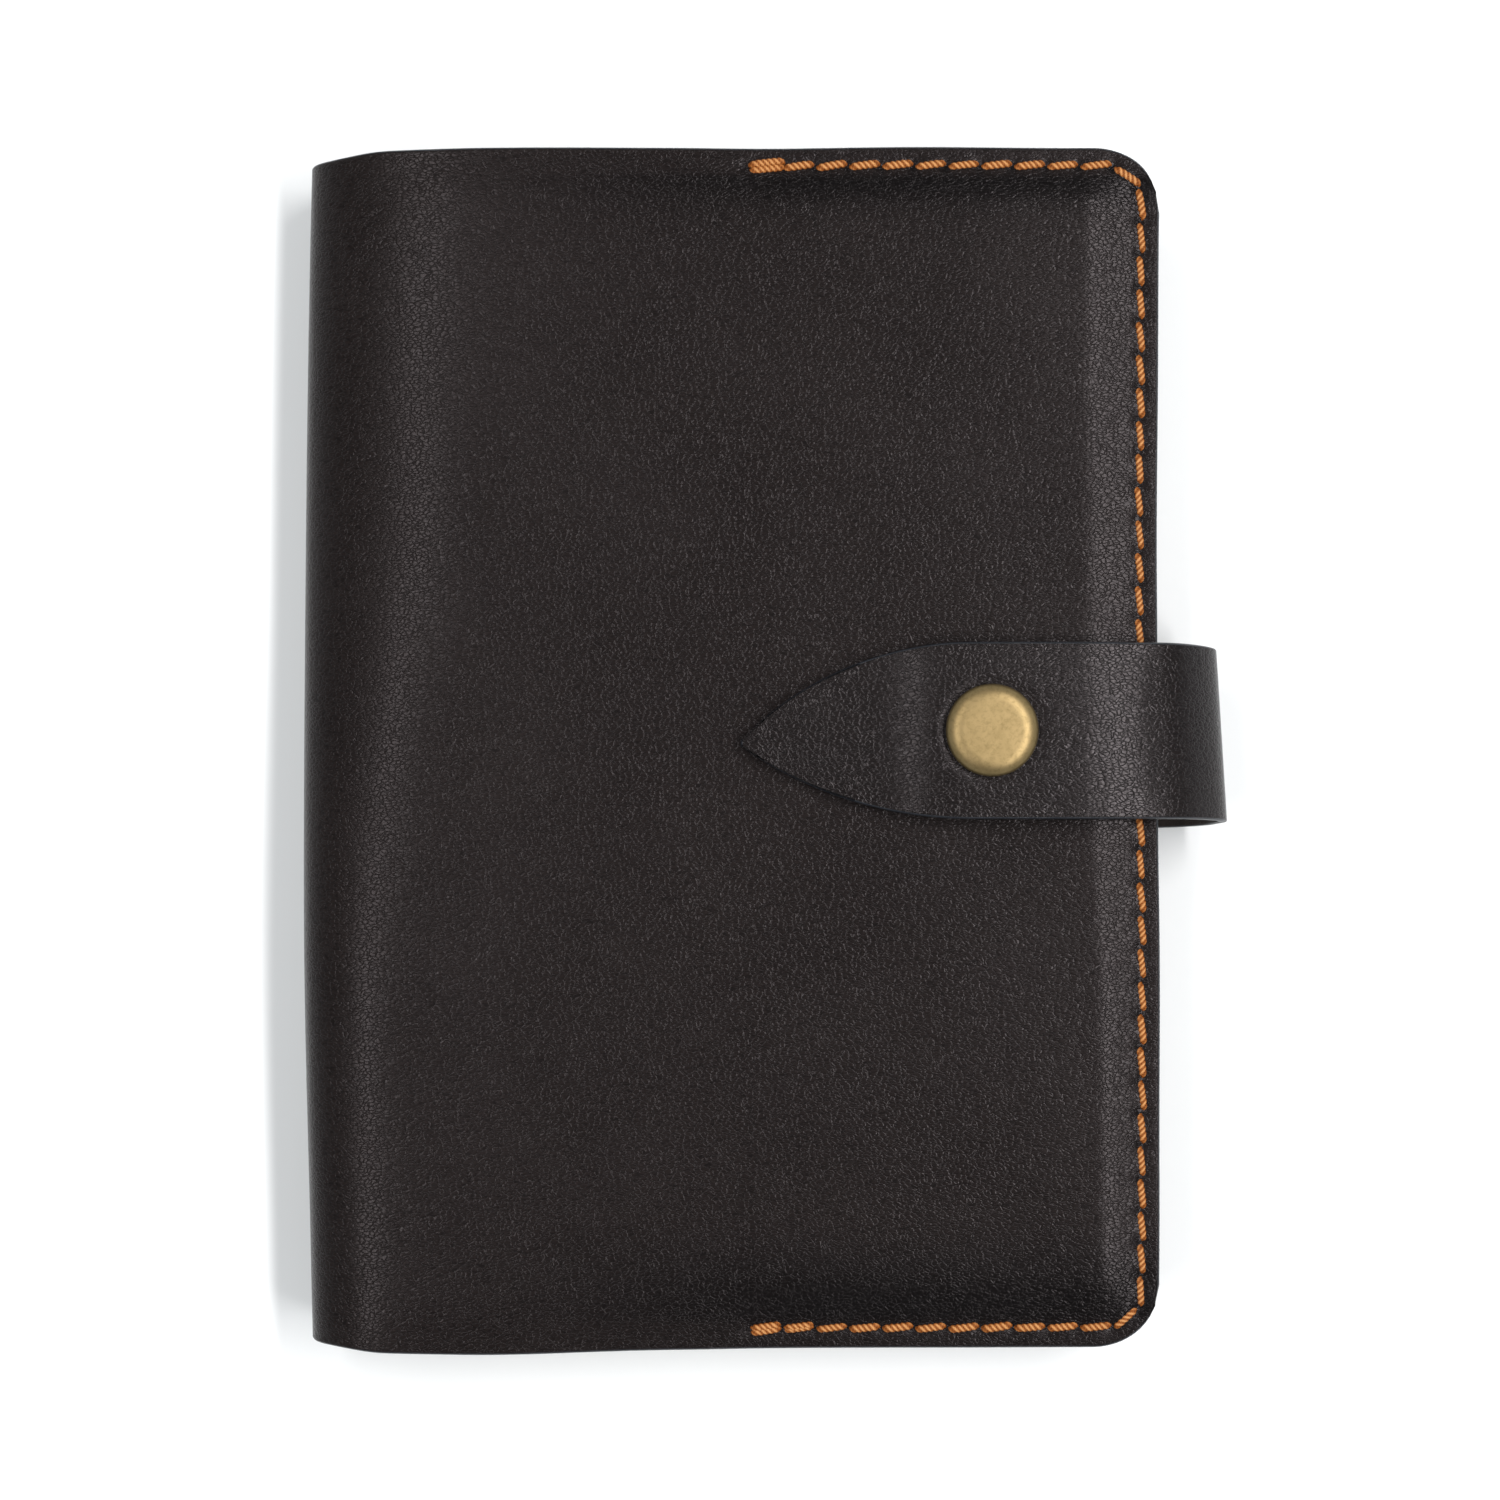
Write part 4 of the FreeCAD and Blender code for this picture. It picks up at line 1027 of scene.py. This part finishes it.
card_half("back")
card_half("front")
rng = np.random.default_rng(5)
for number in range(1, 7):
    signature(number, rng)
flat_leaf("rear_flyleaf", "flyleaf_rear")
flat_leaf("front_flyleaf", "flyleaf_front")


def spine_lining():
    """Brown paper glued down the folds, short of the top fold, and out on to the back board."""
    low, high = corners("spine_lining")
    rows = np.linspace(low[1], high[1], 80)
    corner, top = 0.8, high[2] - 2.2
    turn = np.linspace(0, math.pi / 2, 8)
    x = np.concatenate([
        np.full(14, low[0]),
        low[0] + corner * (1 - np.cos(turn)),
        np.linspace(low[0] + corner, high[0], 16)[1:],
    ])
    z = np.concatenate([
        np.linspace(top, low[2] + corner, 15)[:-1],
        low[2] + corner * (1 - np.sin(turn)),
        np.full(15, low[2]),
    ])
    x, y = x[:, None] + 0 * rows, rows[None, :] + 0 * x[:, None]
    z = z[:, None] + 0.03 * np.sin(rows * 3.1) + 0 * rows
    face = np.stack([x, y, np.maximum(z, low[2])], -1)
    piece = sheet_mesh("lining_paper", face, np.stack([x + z, y], -1), 0.22, [CARD, CARD, CARD], -1, 0.06)
    return place(piece, "back", "lining_paper", "spine_lining")


def sewing_thread():
    """Link stitches along the folds: four stations, each with a run of thread over the six folds."""
    low, high = corners("sewing_thread")
    thread = Thread()
    x = (low[0] + high[0]) / 2
    levels = np.linspace(low[2], high[2], 7)
    for station in np.linspace(low[1] + 0.2, high[1] - 0.2, 4):
        for lean in (-0.9, 0.9):
            line = [(x, station + lean * math.cos(k * math.pi), z) for k, z in enumerate(levels)]
            thread.run(curve_through(line, 60), (1, 0, 0), 0.17)
    piece = thread.make("sewing_links", SEWING)
    return place(piece, "back", "sewing_thread", "sewing_thread")


spine_lining()
sewing_thread()


def anchor_stitches():
    """The sewn rectangle that holds the strap's root, countersunk in the back panel."""
    right, left = EDGE_X - 7.5, EDGE_X - 23.5
    half, pitch = 8.5, 3.9
    rim = [(right, STRAP_Y + 2), (right, STRAP_Y + half), (left, STRAP_Y + half), (left, STRAP_Y - half),
           (right, STRAP_Y - half), (right, STRAP_Y - 2)]
    thread = Thread()
    for (x0, y0), (x1, y1) in zip(rim, rim[1:]):
        length = math.hypot(x1 - x0, y1 - y0)
        count = max(round(length / pitch), 1)
        for k in range(count):
            a, b = (k + 0.1) / count, (k + 0.9) / count
            for z, up in ((0.5, -1), (2.3, 1)):
                start, end = (np.array([lerp(x0, x1, t), lerp(y0, y1, t), z]) for t in (a, b))
                thread.stitch(start, end, (0, 0, up), 0.4, 0.05, 0.45)
    piece = thread.make("stitches_anchor", THREAD)
    return place(piece, "back", "stitching", "strap_anchor_thread")


anchor_stitches()


# ---- floor, light and camera ----


FLOOR_Z = -0.15  # just under the swell of the back panel
WALLS, OVERHEAD = 1.15, 0.24  # brightness of the surroundings


def floor():
    """A plain pale table top."""
    n = Nodes("studio_floor", Roughness=0.9, Specular_IOR_Level=0.1)
    n.shader.inputs["Base Color"].default_value = (0.88, 0.88, 0.88, 1)
    size = 3000
    mesh = bpy.data.meshes.new("studio_floor")
    points = [(-size, -size, FLOOR_Z), (size, -size, FLOOR_Z), (size, size, FLOOR_Z), (-size, size, FLOOR_Z)]
    mesh.from_pydata((np.array(points) * MM).tolist(), [], [(0, 1, 2, 3)])
    mesh.materials.append(n.material)
    piece = bpy.data.objects.new("studio_floor", mesh)
    bpy.context.collection.objects.link(piece)


def softbox(name, place_mm, size_mm, power):
    """An area light aimed at the middle of the cover; its first size runs from tail to head."""
    light = bpy.data.lights.new(name, "AREA")
    light.shape = "RECTANGLE"
    light.size, light.size_y = size_mm[0] * MM, size_mm[1] * MM
    light.energy = power
    lamp = bpy.data.objects.new(name, light)
    lamp.location = Vector(place_mm) * MM
    aim = Vector((0, 0, THICK * MM)) - lamp.location
    lamp.rotation_euler = aim.to_track_quat("-Z", "Y").to_euler()
    bpy.context.collection.objects.link(lamp)


def surround():
    """Pale walls low down all round, and little light from higher up."""
    world = bpy.data.worlds.new("studio")
    world.use_nodes = True
    nodes, links = world.node_tree.nodes, world.node_tree.links
    split, fade = nodes.new("ShaderNodeSeparateXYZ"), nodes.new("ShaderNodeMapRange")
    links.new(nodes.new("ShaderNodeTexCoord").outputs["Generated"], split.inputs[0])
    links.new(split.outputs["Z"], fade.inputs[0])
    for socket, value in zip(fade.inputs[1:5], (0.1, 0.5, WALLS, OVERHEAD)):
        socket.default_value = value
    links.new(fade.outputs[0], nodes["Background"].inputs["Strength"])
    nodes["Background"].inputs["Color"].default_value = (0.88, 0.96, 1, 1)
    return world


def camera():
    """Straight above the cover and a little nearer the tail, with the frame shifted back to the middle."""
    height, frame_width = 300.0, 204.8  # above the front, and the width seen at the front
    centre_x, axis_y, rise = SPINE_X + 61.9, -8.65, 8.5
    data = bpy.data.cameras.new("camera")
    data.sensor_width = 36
    data.lens = data.sensor_width * height / frame_width
    data.shift_y = rise / frame_width
    data.clip_start = 0.01
    eye = bpy.data.objects.new("camera", data)
    eye.location = Vector((centre_x, axis_y, THICK + height)) * MM
    bpy.context.collection.objects.link(eye)
    bpy.context.scene.camera = eye


floor()
softbox("key_right", (290, 30, 560), (700, 70), 4.2)
softbox("fill_left", (-250, 30, 560), (700, 70), 2.1)
bpy.context.scene.world = surround()
bpy.context.scene.view_settings.view_transform = "Standard"
camera()
